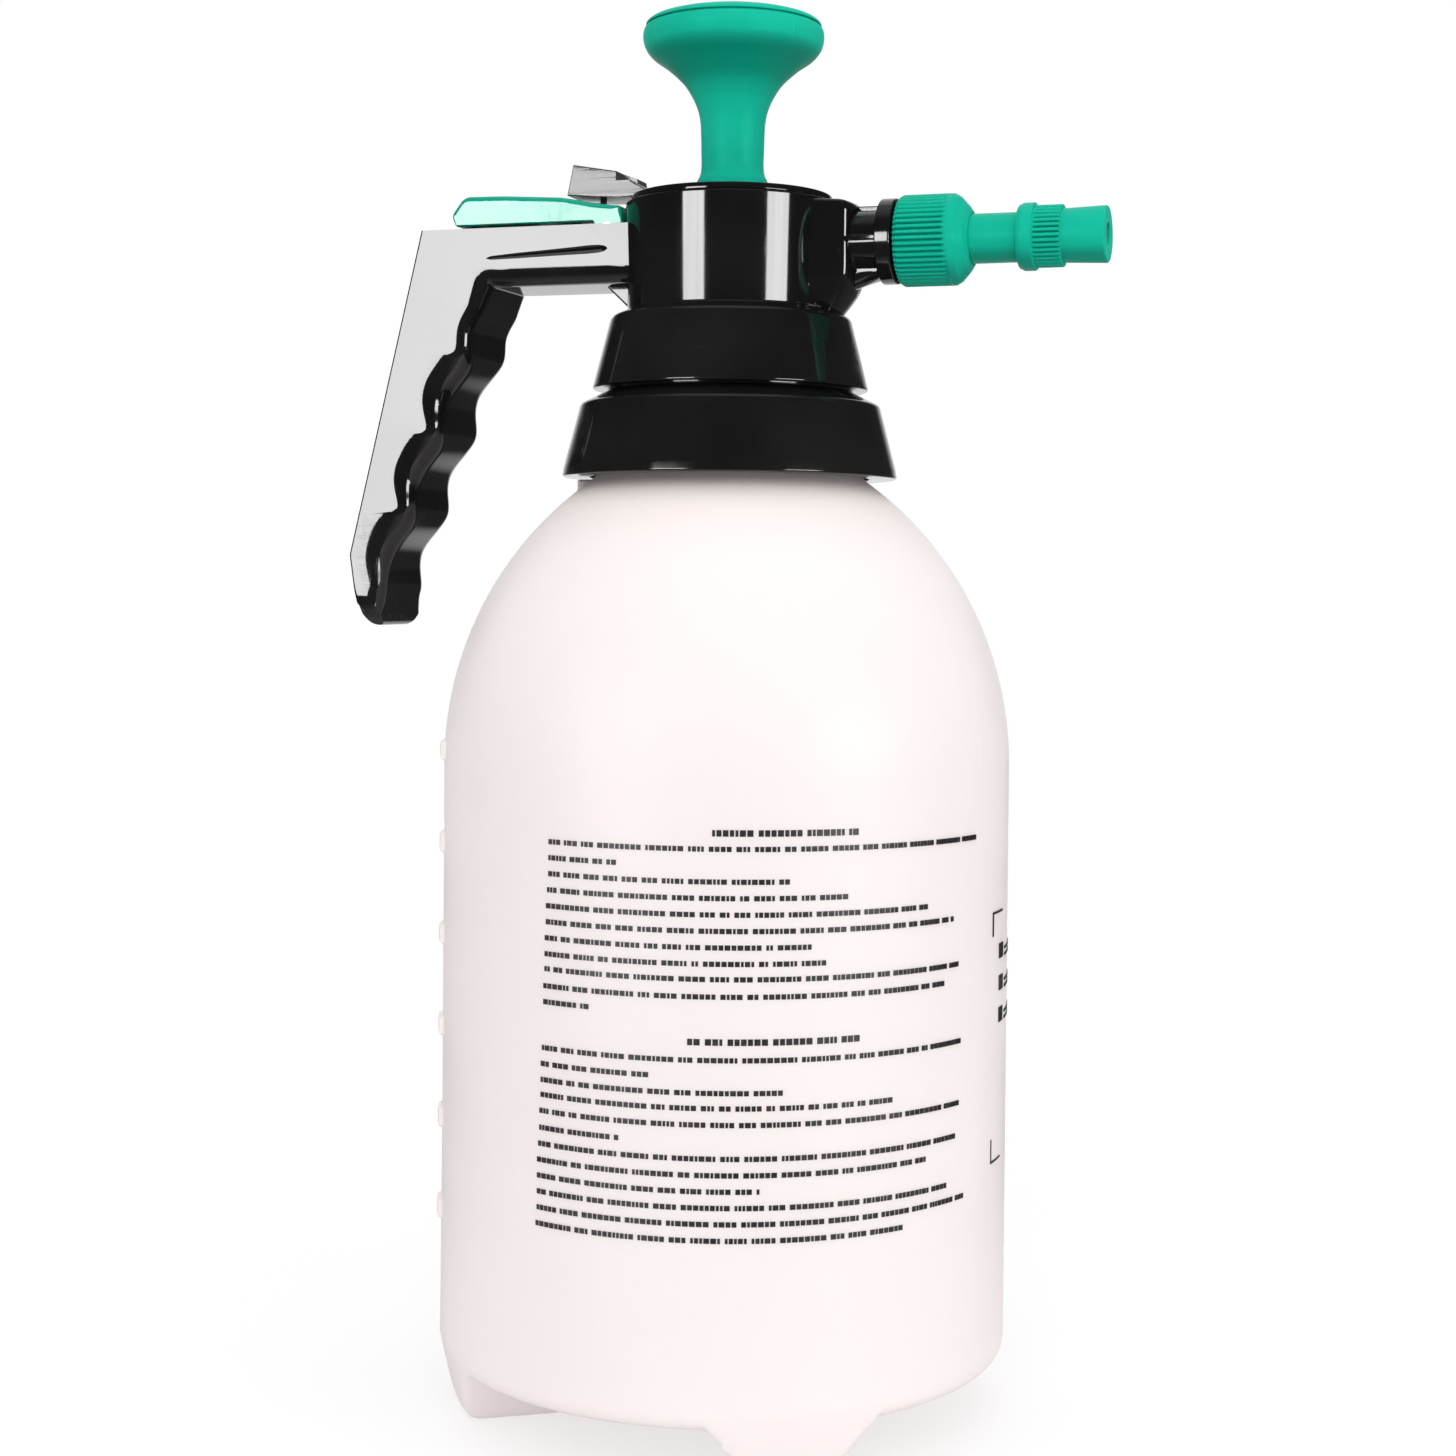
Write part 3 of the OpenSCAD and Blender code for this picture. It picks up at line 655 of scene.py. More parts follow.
def fill_marks():
    """Six raised, soft-edged marks up the wall, towards -X and a little -Y."""
    start, end = math.radians(-159), math.radians(-151)
    root_r, edge_r, rise = 62.3, 62.75, 1.05
    first_z, pitch, height = 44.2, 20.2, 4.6
    nu, nv = 12, 8              # steps across and up
    verts, faces = [], []
    for i in range(6):
        base = len(verts)
        bottom = first_z + pitch * i - height / 2
        for outer in (False, True):
            for iu in range(nu + 1):
                for iv in range(nv + 1):
                    u, v = iu / nu, iv / nv
                    a = start + (end - start) * u
                    r = root_r
                    if outer:
                        inset = min(1.0, min(u, 1 - u) * 7.0, min(v, 1 - v) * 5.0)
                        r = edge_r + rise * math.sqrt(max(0.0, 1 - (1 - inset) ** 2))
                    verts.append((r * math.cos(a), r * math.sin(a), bottom + height * v))

        def at(layer, iu, iv):
            return base + (layer * (nu + 1) + iu) * (nv + 1) + iv

        for iu in range(nu):
            for iv in range(nv):
                corners = ((iu, iv), (iu + 1, iv), (iu + 1, iv + 1), (iu, iv + 1))
                faces.append(tuple(at(1, *c) for c in corners))
                faces.append(tuple(at(0, *corners[k]) for k in (0, 3, 2, 1)))
        for iu in range(nu):
            for iv in (0, nv):
                f = (at(0, iu, iv), at(0, iu + 1, iv), at(1, iu + 1, iv), at(1, iu, iv))
                faces.append(f if iv == 0 else f[::-1])
        for iv in range(nv):
            for iu in (0, nu):
                f = (at(0, iu, iv), at(1, iu, iv), at(1, iu, iv + 1), at(0, iu, iv + 1))
                faces.append(f if iu == 0 else f[::-1])
    return new_obj("marks", verts, faces, 50)


def build_bottle():
    bottle = bottle_shell()
    join(bottle, fill_marks())
    # stop lug below the collar
    lug = block("lug", (28.8, 33.9), (-2.4, 2.4), (200.2, 205.4), 0.6)
    lug.data.transform(Matrix.Rotation(math.radians(-164), 4, "Z"))
    join(bottle, lug)
    tidy(bottle, 40)
    return bottle


finish_piece(build_bottle(), BOTTLE, "tank", "natural_hdpe", "bottle", weigh=False)


# ------------------------------------------------------------------ printed panel

# Arc lengths run round the wall from the line that faces the camera, positive to the right.
TEXT_H, TITLE_H = 2.0, 2.15
INK_IN, INK_OUT = BODY_R - 0.16, BODY_R + 0.05
BLOCK_WIDTHS = (0.55, 0.8, 0.95, 1.05, 1.15)        # for a row 2 mm high
WORD_LENGTHS = (2, 3, 3, 4, 5, 6, 7, 8, 9)

# start and end arc length, base line height
TEXT_ROWS = (
    (-38.30353, 63.00921, 129.2820), (-38.30353, -22.08553, 126.0289),
    (-38.30353, 12.84543, 122.7759), (-38.56459, 26.05267, 119.5016),
    (-38.82668, 45.48161, 116.2252), (-38.82668, 54.17038, 112.9702),
    (-39.08984, 17.81916, 109.6906), (-39.08984, 21.65281, 106.4347),
    (-39.08984, 56.36823, 103.3822), (-39.35407, 51.08431, 99.8950),
    (-39.35407, -28.09241, 96.6380),
    (-39.61938, 57.51770, 87.2424), (-39.88581, -14.90169, 83.9512),
    (-39.88581, 12.23240, 80.6922), (-39.88581, 38.04350, 77.6370),
    (-40.15337, 57.13046, 74.3415), (-40.15337, -21.22154, 70.8778),
    (-40.42208, 54.88911, 67.5787), (-40.69196, 46.67234, 64.2773),
    (-40.69196, 8.18249, 61.0152), (-40.69196, 53.46442, 57.7532),
    (-40.69196, 58.30517, 54.4912), (-40.96304, 39.35407, 51.1840),
)
TITLE_ROWS = ((-2.78445, 27.86369, 132.3211), (-7.37885, 29.70911, 90.7312))
BRACKET_S, BRACKET_TOP, BRACKET_BOTTOM = 71.71975, 112.8499, 58.8613
BRACKET_LINE, BRACKET_W, BRACKET_H = 0.45, 7.5, 5.2
SQUARES_S = 76.20871
SQUARES_Z = (104.1531, 97.2358, 90.3185)


def printed_panel():
    """Rows of plain small blocks in word lengths, without letters."""
    rnd = random.Random(20)
    verts, faces = [], []

    def patch(s0, s1, z0, z1):
        """A thin block that follows the wall between two arc lengths."""
        a0, a1 = s0 / BODY_R + VIEW_ANGLE, s1 / BODY_R + VIEW_ANGLE
        n = max(1, int(math.degrees(a1 - a0) / 1.2) + 1)
        first = len(verts)
        for r in (INK_IN, INK_OUT):
            for i in range(n + 1):
                a = a0 + (a1 - a0) * i / n
                for z in (z0, z1):
                    verts.append((r * math.cos(a), r * math.sin(a), z))
        layer = 2 * (n + 1)
        for i in range(n):
            q = first + 2 * i
            faces.append((q, q + 1, q + 3, q + 2))
            faces.append((q + layer, q + layer + 2, q + layer + 3, q + layer + 1))
            faces.append((q, q + 2, q + layer + 2, q + layer))
            faces.append((q + 1, q + layer + 1, q + layer + 3, q + 3))
        faces.append((first, first + layer, first + layer + 1, first + 1))
        q = first + 2 * n
        faces.append((q, q + 1, q + layer + 1, q + layer))

    def row(start, end, z, h, bold=1.0):
        s = start
        while s < end - 0.9:
            for _ in range(rnd.choice(WORD_LENGTHS)):
                w = rnd.choice(BLOCK_WIDTHS) * h / 2.0
                if s + w > end:
                    break
                patch(s, s + w, z + h * 0.06, z + h * (0.06 + 0.52 * bold))
                s += w + 0.24 * h / 2
            s += 0.72 * h / 2

    for start, end, z in TEXT_ROWS:
        row(start, end, z, TEXT_H)
    for start, end, z in TITLE_ROWS:
        row(start, end, z, TITLE_H, bold=1.15)
    # corner brackets at the left of the next panel
    s, top, bottom, line = BRACKET_S, BRACKET_TOP, BRACKET_BOTTOM, BRACKET_LINE
    patch(s, s + BRACKET_W, top - line, top)
    patch(s, s + line, top - BRACKET_H, top)
    patch(s, s + BRACKET_W, bottom, bottom + line)
    patch(s, s + line, bottom, bottom + BRACKET_H)
    # squares, each with two lines beside it
    for z in SQUARES_Z:
        patch(SQUARES_S + 0.6, SQUARES_S + 4.2, z - 1.8, z + 1.4)
        patch(SQUARES_S + 6.4, SQUARES_S + 22, z - 0.5, z + 0.1)
        patch(SQUARES_S + 6.4, SQUARES_S + 17, z - 1.9, z - 1.3)
    return new_obj("printed_panel", verts, faces, 30, smooth=False)


finish_piece(printed_panel(), INK, "tank", "black_plastic", weigh=False)


# ------------------------------------------------------------------ grip

GRIP_W = 24.0
GRIP_X, GRIP_Z = -54.6, 247         # top of the finger side's base line
GRIP_RUN, GRIP_DROP = 25.7, 65.4    # the base line goes this far to -X and down
GRIP_NX, GRIP_NZ = 0.93, 0.366      # its normal is (GRIP_NX, -GRIP_NZ)
FINGER_PITCH, FINGER_Z = 17.9, 232.5
FINGER_WAVE = 1.1

# x, z, corner radius: down the outer (-X) side and round the foot
GRIP_BACK = ((-15, 265.5, 0), (-69.6, 265.5, 4.6), (-88.1, 188.3, 3.0), (-86.4, 176.8, 3.0),
             (-84.2, 171.9, 2.4), (-81.3, 172.3, 1.6), (-80.4, 177.0, 0))
# bottom z, top z, extra depth at the bottom
GRIP_POCKETS = ((184.6, 203.2, 2.2), (204.8, 226.4, 3.0), (228.0, 247.8, 3.0))
# x, z, depth below the arm's side face
DENT = ((-54.2, 255.20, 0.10), (-53.0, 255.25, 0.40), (-47.0, 255.55, 0.56),
        (-36.0, 256.05, 0.72), (-29.5, 256.35, 0.86), (-27.2, 256.45, 0.80),
        (-26.0, 256.48, 0.60), (-25.4, 256.5, 0.34), (-25.1, 256.5, 0.10))


def smoothstep(v, start, end):
    t = max(0.0, min(1.0, (v - start) / (end - start)))
    return t * t * (3 - 2 * t)


def finger_side(t):
    """Point on the wavy finger side; t runs down its base line."""
    x, z = GRIP_X - GRIP_RUN * t, GRIP_Z - GRIP_DROP * t
    w = FINGER_WAVE * math.cos(2 * PI * (z - FINGER_Z) / FINGER_PITCH)
    if z > 238:
        w *= max(0.0, 1 - (z - 238) / 6)
    return x + GRIP_NX * w, z - GRIP_NZ * w


def grip_outline():
    inner = [finger_side(t) for t in np.linspace(1.03, 0.03, 90)]
    under_arm = fillet([inner[-1] + (0,), (-53.6, 249.0, 0.5), (-15, 249.0, 0)], 4)
    return resample(fillet(GRIP_BACK, 8) + inner + under_arm[1:], 0.9)


def grip_edge_radius(x, z):
    """Small at the back and top, larger under the arm, scooped at each finger."""
    ahead = (x - GRIP_X) * GRIP_NX - (z - GRIP_Z) * GRIP_NZ     # from the finger side's base line
    t = ((FINGER_Z + 1.2 - z) / FINGER_PITCH) % 1.0
    scoop = 2.9 + 3.7 * math.sin(PI * t ** 0.6) ** 1.2 if z < 236 else 3.3
    scoop = 2.0 + (scoop - 2.0) * smoothstep(z, 173, 182)
    finger = smoothstep(ahead, -5.0, -2.6) * (1 - smoothstep(z, 247.0, 250.5))
    under = smoothstep(x, -57.5, -55.0) * (1 - smoothstep(z, 249.6, 252.0))
    under *= smoothstep(z, 240, 246)
    # a little more in the corner between arm and finger side
    mitre = 1 + 0.20 * math.exp(-((x + 53.6) ** 2 + (z - 249.0) ** 2) / 0.6)
    foot = 0.9 * (1 - smoothstep(z, 173.5, 178.0)) * (1 - finger)
    return 0.55 + max((scoop - 0.55) * finger, 3.3 * under) * mitre + foot


def pocket(bottom, top, extra):
    """Opens the grip from its outer side between two cross ribs."""
    def wall_x(z):
        return GRIP_X - 4.0 - GRIP_RUN * (GRIP_Z - z) / GRIP_DROP
    outline = fillet([(-97, top, 0), (wall_x(top) - 0.5, top, 1.5),
                      (wall_x(bottom) - extra, bottom, 1.5), (-97, bottom, 0)], 5)
    return slab("pocket", resample(outline, 1.2), 17.6, 0.01, steps=1)


def foot_limit():
    """A long bar along x whose underside is rounded towards both sides."""
    section = [(13.0, 262.0), (13.0, 181.6)]        # y, z
    for i in range(15):
        a = PI / 2 * i / 14
        section.append((3.6 + 8.7 * math.cos(a), 180.6 - 8.9 * math.sin(a)))
    section += [(-y, z) for y, z in reversed(section)]
    n = len(section)
    verts = [(x, y, z) for x in (-96.0, -10.0) for y, z in section]
    faces = [tuple(range(n)), tuple(range(2 * n - 1, n - 1, -1))]
    faces += [(i, n + i, n + (i + 1) % n, (i + 1) % n) for i in range(n)]
    return new_obj("foot_round", verts, faces)


def dent(side):
    """A shallow V groove along one side of the arm."""
    verts, faces = [], []
    outer_y = GRIP_W / 2 + 0.5
    for x, z, depth in DENT:
        i = len(verts)
        half = 1.1 * (depth + 0.5)
        verts += [(x, side * (GRIP_W / 2 - depth), z),
                  (x, side * outer_y, z - half), (x, side * outer_y, z + half)]
        if i:
            faces += [(i - 3 + k, i - 3 + (k + 1) % 3, i + (k + 1) % 3, i + k) for k in range(3)]
    faces += [(0, 1, 2), (len(verts) - 1, len(verts) - 2, len(verts) - 3)]
    return new_obj("dent", verts, faces)


def build_grip():
    grip = slab("grip", grip_outline(), GRIP_W, grip_edge_radius, steps=8, sharp=38)
    for spec in GRIP_POCKETS:
        cut(grip, pocket(*spec))
    boolean(grip, foot_limit(), "INTERSECT")
    for side in (-1, 1):
        cut(grip, dent(side))
    return grip


# ------------------------------------------------------------------ head housing

TUBE_X = 19.5               # where the outlet tube starts
PIVOT_X, PIVOT_Z, PIVOT_R = -26, 261, 1.55

# r, z, corner radius
HEAD_OUTER = ((0, 205.9, 0), (37.35, 205.9, 0.5), (37.0, 208.0, 2.0), (33.35, 222.1, 1.5),
              (27.3, 225.05, 0.25), (27.3, 225.45, 0), (30.8, 225.45, 0.45), (26.75, 241.4, 2.0),
              (23.05, 243.0, 0.5), (23.7, 266.7, 0.55), (22.9, 266.7, 0), (0, 266.7, 0))
# r, z
HEAD_INNER = ((0, 204), (31.2, 204), (31.2, 221.5), (24.5, 221.5), (24.5, 239.2), (21.2, 241.6),
              (21.2, 257.9), (15.3, 257.9), (15.3, 259.4), (17.8, 259.4), (17.8, 269), (0, 269))
# r, distance along the outlet, corner radius: tube, flange and spigot
OUTLET = ((0, 0, 0), (7.1, 0, 0), (6.9, 10, 2), (6.9, 15.35, 0.5), (9.3, 15.35, 0.45),
          (9.3, 18.9, 0.5), (7.6, 18.9, 0), (7.6, 27.7, 0.3), (7.3, 28.2, 0), (0, 28.2, 0))
# x, y: half of the nose seen from above
NOSE_SIDE = ((29.6, 0.0), (29.58, 1.2), (29.5, 2.6), (29.35, 4.0), (29.15, 5.4), (28.85, 6.7),
             (28.68, 7.2), (28.42, 7.62), (28.05, 7.95), (27.6, 8.15), (26.4, 8.48), (25.0, 8.86),
             (23.0, 9.5), (21.2, 10.3), (19.4, 11.3))
# z, size of the nose outline
NOSE_LEVELS = ((240.6, 0.555), (241.6, 0.575), (242.4, 0.62), (244.0, 0.735), (246.0, 0.865),
               (247.4, 0.935), (249.0, 0.98), (251.0, 1.0), (263.6, 1.0), (264.6, 0.992),
               (265.3, 0.965), (265.75, 0.925), (266.0, 0.86), (266.1, 0.78))
# x, z
WEB = ((22, 257), (35.9, 257), (35.9, 249.75), (28.9, 247.2), (22, 245.0))
FIN = ((24, 262), (36, 262), (36, 265.15), (24, 265.3))
CHANNEL = ((-24.8, 251.4), (-24.8, 257.4), (-22.9, 258), (-22.9, 272), (-66, 272),
           (-66, 256.5), (-62.5, 251.4))
# x, z, corner radius
GUSSET = ((-19, 250.5, 0), (-19, 242.6, 0), (-22.6, 243.6, 1.5), (-29.2, 249.8, 0))


def nose():
    """The blunt body around the outlet, tapered at its top and bottom."""
    outline = [(x, -y) for x, y in NOSE_SIDE[::-1]] + list(NOSE_SIDE[1:])
    pivot_x = 18.6
    verts, faces, rings = [], [], []
    for z, size in NOSE_LEVELS:
        rings.append([len(verts) + k for k in range(len(outline))])
        keep = 0.55 if z > 255 else 0.35
        for x, y in outline:
            taper = 1 - (1 - size) * max(0.0, min(1.0, (x - 17.0) / 7.0))
            verts.append((pivot_x + (x - pivot_x) * size, y * (keep + (1 - keep) * taper), z))
    for a, b in zip(rings, rings[1:]):
        for k in range(len(outline)):
            k2 = (k + 1) % len(outline)
            faces.append((a[k], a[k2], b[k2], b[k]))
    for ring in (rings[0], rings[-1]):
        faces += fill_cap([verts[i][:2] for i in ring], ring)
    return new_obj("nose", verts, faces)


def build_head():
    head = lathe("head_housing_shell", fillet(HEAD_OUTER, 7), 384)
    join(head, nose())
    join(head, lathe("tube", fillet(OUTLET), 192, outlet_x=TUBE_X))
    for y in (-8.5, 5.5):
        join(head, block("rib", (20, 35.6), (y, y + 3.0), (OUTLET_Z - 0.45, OUTLET_Z + 0.45), 0.18))
    join(head, slab("web", resample(WEB, 0.8), 6.4, 3.0, steps=9))
    join(head, slab("fin", resample(FIN, 1.2), 2.0, 0.3))
    join(head, build_grip())
    join(head, slab("gusset", resample(fillet(GUSSET, 4), 0.8), 7.0, 0.5))
    cut(head, lathe("inside", HEAD_INNER, 192))
    # channel for lever and valve, through to the head's wall
    cut(head, slab("channel", resample(CHANNEL, 2.0), 17.2, 0.01, steps=1))
    cut(head, rod("pin", PIVOT_R, (PIVOT_X, -10.5, PIVOT_Z), (PIVOT_X, 10.5, PIVOT_Z)))
    for y in (-3.4, 3.4):
        cut(head, rod("hole", 2.15, (-30, y, 254.5), (-16, y, 254.5), 48))
    cut(head, rod("hole", 3.0, (24.6, 0, OUTLET_Z), (60, 0, OUTLET_Z)))
    cut(head, rod("hole", 2.2, (19, 0, 254.5), (25.8, 0, 254.5), 48))
    tidy(head, 30, merge=0.004)
    return head


finish_piece(build_head(), BLACK, "head", "black_plastic", "head_housing")


# r, z, corner radius; the last point closes the ring
CAP = ((ROD_BORE_R, 262.1, 0), (8.5, 262.1, 0.3), (8.5, 265.2, 0.4), (15, 265.2, 0.4),
       (15, 262.1, 0.3), (17.7, 262.1, 0.3), (17.7, 266.9, 0), (22.55, 266.9, 0.3),
       (22.35, 268.45, 0.45), (9.4, 268.45, 0.2), (9.2, 268.25, 0.1), (ROD_BORE_R, 268.25, 0.15),
       (ROD_BORE_R, 262.1, 0))
cap = lathe("pump_cap_disc", fillet(CAP, 5)[:-1], 320, loop=True)
finish_piece(cap, BLACK, "head", "black_plastic", "pump_cap")


# ------------------------------------------------------------------ plunger

# r, z: stations up the knob's outside
KNOB_SIDE = ((7.9, 268.55), (7.9, 271.4), (7.75, 272.2), (7.3, 273.1), (7.02, 274.2),
             (6.93, 276), (7.0, 279), (7.08, 282), (7.25, 285), (7.84, 287.8), (9.18, 290.8),
             (11.3, 293.9), (14.8, 297.1), (17.9, 299.3), (19.5, 301.2), (20.1, 303.1),
             (20.12, 304.4), (19.95, 305.2), (19.65, 305.65), (19.4, 305.8))
# r, z: the bore and the foot below it, then the dished top
KNOB_BORE = [(0, 299.2), (ROD_BORE_R, 299.2), (ROD_BORE_R, 268.6), (7.6, 268.5)]
KNOB_DISH = [(19.3, 305.6), (19.25, 305.1), (16.35, 305.1), (16.3, 304), (14, 302.4),
             (4, 301.1), (0, 301.0)]
# r, z, corner radius
KNOB_CAP = ((0, 307.0, 0), (13.6, 307.0, 0.3), (14, 304.8, 0.3), (16.0, 304.8, 0.3),
            (16.1, 305.4, 0), (19.05, 305.45, 0.1), (19.1, 306.05, 0.1), (19.55, 306.2, 0.15),
            (19.5, 306.65, 0.5), (18.6, 307.35, 2.5), (16.2, 308.1, 8.0), (11.0, 308.8, 20.0),
            (5.0, 309.25, 20.0), (0, 309.35, 0))
PUMP_ROD = ((0, 134.4, 0), (2.6, 134.4, 0), (3, 134.8, 0), (3, 143, 0.1), (ROD_R, 143, 0.4),
            (ROD_R, 299, 0.5), (0, 299, 0))


def knob_radius(r, z, a):
    """Adds two faint mould lines on opposite sides."""
    if r > 6.8 and 269 < z < 307:
        for turn in (41, 221):
            seam = VIEW_ANGLE + math.radians(turn)
            height = 0.20 if z > 300 else 0.05
            r += height * max(0.0, 1 - angle_gap(a, seam) * r / 0.30)
    return r


knob = lathe("pump_knob_body", KNOB_BORE + spline(KNOB_SIDE) + KNOB_DISH, 512,
             radius_at=knob_radius, sharp=40)
finish_piece(knob, GREEN, "plunger", "green_plastic", "pump_knob")

knob_cap = lathe("knob_top_disc", fillet(KNOB_CAP, 8), 384)
finish_piece(knob_cap, GREEN, "plunger", "green_plastic", "knob_cap")

pump_rod = lathe("pump_rod_bar", fillet(PUMP_ROD, 4), 160)
finish_piece(pump_rod, WHITE, "plunger", "white_plastic", "pump_rod")


# ------------------------------------------------------------------ nozzle

NUT_X = 39.0
NUT_GROOVES, TIP_GROOVES = 48, 36
SEG_PER_GROOVE = 14

# r, distance along x from NUT_X, corner radius
NUT_OUTER = ((8.3, 0.0, 0), (9.35, 0.0, 0.3), (9.9, 0.9, 0.4), (9.9, 12.0, 0.5), (9.2, 13.2, 1.0),
             (7.2, 15.0, 1.6), (6.05, 15.75, 0.4), (5.45, 15.75, 0))
# r, distance along x from NUT_X
NUT_INNER = [(5.45, 11.3), (8.3, 11.3), (8.3, 9.5), (8.3, 7.0), (8.3, 4.5), (8.3, 2.0)]
# r, x, corner radius; the last point closes the ring
BARREL = ((1.9, 48.3, 0), (7.9, 48.3, 0.3), (7.9, 50.2, 0.3), (5.35, 50.2, 0.2),
          (5.35, 64.95, 0.25), (4.35, 64.95, 0.1), (4.35, 72.2, 0.3), (1.9, 72.2, 0.1),
          (1.9, 48.3, 0))
# r, x, corner radius
TIP = ((4.55, 65.1, 0), (6.75, 65.1, 0.3), (7.26, 66.2, 0.8), (7.26, 68.5, 0.25),
       (6.66, 68.65, 0.1), (6.66, 74.45, 0.25), (5.75, 74.6, 0.2), (6.08, 83.7, 0.35),
       (5.8, 84.0, 0.15), (2.55, 84.0, 0.15), (2.4, 83.7, 0), (2.4, 81.1, 0.1), (0.75, 80.8, 0),
       (0.7, 78.4, 0), (3.3, 78.3, 0), (3.3, 73.6, 0), (4.55, 73.5, 0))


def grooves(count, depth, start, end, width, fade_length):
    """Radius function that sinks grooves between two places along the axis."""
    def radius(r, z, a):
        if z < start - fade_length or z > end + fade_length:
            return r
        fade = min(1.0, (z - start + fade_length) / fade_length,
                   (end + fade_length - z) / fade_length)
        fade = fade * fade * (3 - 2 * fade)
        u = (a * count / (2 * PI)) % 1.0
        crest = math.sin(PI / 2 * min(1.0, min(u, 1 - u) * 2 / width))
        return r - depth * (1 - crest) * fade
    return radius


def build_nut():
    profile = densify(fillet(NUT_OUTER), lambda dr, dz: abs(dz)) + NUT_INNER
    grip = grooves(NUT_GROOVES, depth=0.72, start=-1.0, end=10.6, width=0.80, fade_length=0.9)

    def radius(r, z, a):
        return grip(r, z, a) if r > 8.9 else r
    return lathe("union_nut_ring", profile, NUT_GROOVES * SEG_PER_GROOVE, loop=True,
                 radius_at=radius, outlet_x=NUT_X, sharp=50)


def build_tip():
    grip = grooves(TIP_GROOVES, depth=0.62, start=68.9, end=76.0, width=0.72, fade_length=0.25)

    def radius(r, z, a):
        return grip(r, z, a) if r > 6.3 and 68.66 < z < 74.6 else r
    return lathe("nozzle_tip_ring", densify(fillet(TIP), math.hypot),
                 TIP_GROOVES * SEG_PER_GROOVE, loop=True, radius_at=radius, outlet_x=0.0, sharp=45)


finish_piece(build_nut(), GREEN, "head", "green_plastic", "union_nut")
barrel = lathe("nozzle_barrel_tube", fillet(BARREL, 5)[:-1], 256, loop=True, outlet_x=0.0)
finish_piece(barrel, GREEN, "head", "green_plastic", "nozzle_barrel")
finish_piece(build_tip(), GREEN, "tip", "green_plastic", "nozzle_tip")


# ------------------------------------------------------------------ trigger lever and lock

# x, z, corner radius; the last point of each outline closes it
LEVER = ((-23.6, 266.2, 0), (-24.2, 266.6, 0.4), (-30.5, 267.5, 8), (-38, 269.0, 10),
         (-52, 269.85, 30), (-61.8, 270.05, 3.2), (-64.9, 266.0, 1.6), (-63.6, 263.2, 0.6),
         (-30.2, 263.2, 0.5), (-28.6, 259.0, 1.2), (-26, 257.7, 1.5), (-23.6, 259.0, 1.2),
         (-23.0, 262.0, 0.5), (-23.6, 266.2, 0))
LOCK = ((-37.3, 269.55, 0), (-36.05, 276.5, 0.3), (-25.6, 274.65, 0.5), (-22.3, 273.5, 0.4),
        (-22.1, 272.3, 0.4), (-18.9, 270.5, 0.3), (-18.9, 269.3, 0.3), (-22.4, 268.75, 0.3),
        (-24.4, 268.8, 0.2), (-30, 268.95, 0), (-37.3, 269.55, 0))
# x, z
LEVER_CAVITY = ((-31, 265.2), (-37, 266.8), (-60.0, 267.6), (-61.7, 265.8), (-61.7, 260.0),
                (-31, 260.0))
LEVER_FORK = ((-22, 264.9), (-31.2, 265.15), (-31.2, 256.5), (-22, 256.5))


def build_lever():
    lever = slab("trigger_lever_shell", resample(fillet(LEVER)[:-1], 0.7), 16.0,
                 lambda x, z: 1.25 if z > 265.4 else 0.4, steps=6, sharp=38)
    # hollow underneath, with one cross rib left standing
    cavity = slab("cavity", resample(LEVER_CAVITY, 1.0), 12.6, 0.3, steps=2)
    cut(cavity, block("rib", (-44, -40), (-7, 7), (262.42, 270)))
    cut(lever, cavity)
    # gap between the pivot arms, slot in the top, pivot hole
    cut(lever, slab("gap", resample(LEVER_FORK, 2), 9.2, 0.01, steps=1))
    cut(lever, block("slot", (-36.6, -25.6), (-2.1, 2.1), (259, 272)))
    cut(lever, rod("pivot", PIVOT_R, (PIVOT_X, -12, PIVOT_Z), (PIVOT_X, 12, PIVOT_Z)))
    # thumb grooves across the pad
    for i in range(5):
        x = -59.2 + i * 1.9
        z = 270.02 - (x + 60) * 0.020 + 0.22
        cut(lever, rod("groove", 0.42, (x, -6.2, z), (x, 6.2, z), 24))
    tidy(lever, 35, merge=0.003)
    return lever


def build_lock():
    lock = slab("lock_slide_block", resample(fillet(LOCK, 5)[:-1], 0.6),
                lambda x, z: 11.6 - (z - 268) * 0.10, 0.35, steps=4, sharp=38)
    foot_x = (-35.4, -30.6)
    join(lock, block("foot", foot_x, (-2.0, 2.0), (264.2, 270.0), 0.1))
    join(lock, block("flange", foot_x, (-3.2, 3.2), (263.8, 264.7), 0.15))
    # stepped recess at the +X, -Y corner and finger grooves on top
    cut(lock, block("recess", (-25.7, -20.0), (-8, -1.0), (272.5, 278)))
    for i in range(3):
        x = -34.2 + i * 2.6
        z = 276.25 - (x + 36) * 0.175
        cut(lock, rod("groove", 0.35, (x, -5.0, z), (x, 5.0, z), 20))
    tidy(lock, 35, merge=0.003)
    return lock


lever = build_lever()
lock = build_lock()
finish_piece(lever, LEVER_GREEN, "trigger", "green_plastic", "trigger_lever")
finish_piece(lock, LOCK_BLACK, "lock", "black_plastic", "lock_slide")


# ------------------------------------------------------------------ remaining CAD nodes

SLOT_SHADERS = {"natural_hdpe": BOTTLE, "black_plastic": BLACK, "green_plastic": GREEN,
                "white_plastic": WHITE, "rubber_seal": RUBBER, "steel": STEEL}
node_slots = {s["node"]: s["material_slot"] for s in frame["record"]["subparts"]}
for name, ob in frame["nodes"].items():
    material = SLOT_SHADERS[node_slots[name]].material
    if not ob.data.materials:
        ob.data.materials.append(material)
    for i in range(len(ob.data.materials)):
        ob.data.materials[i] = material


# ------------------------------------------------------------------ floor

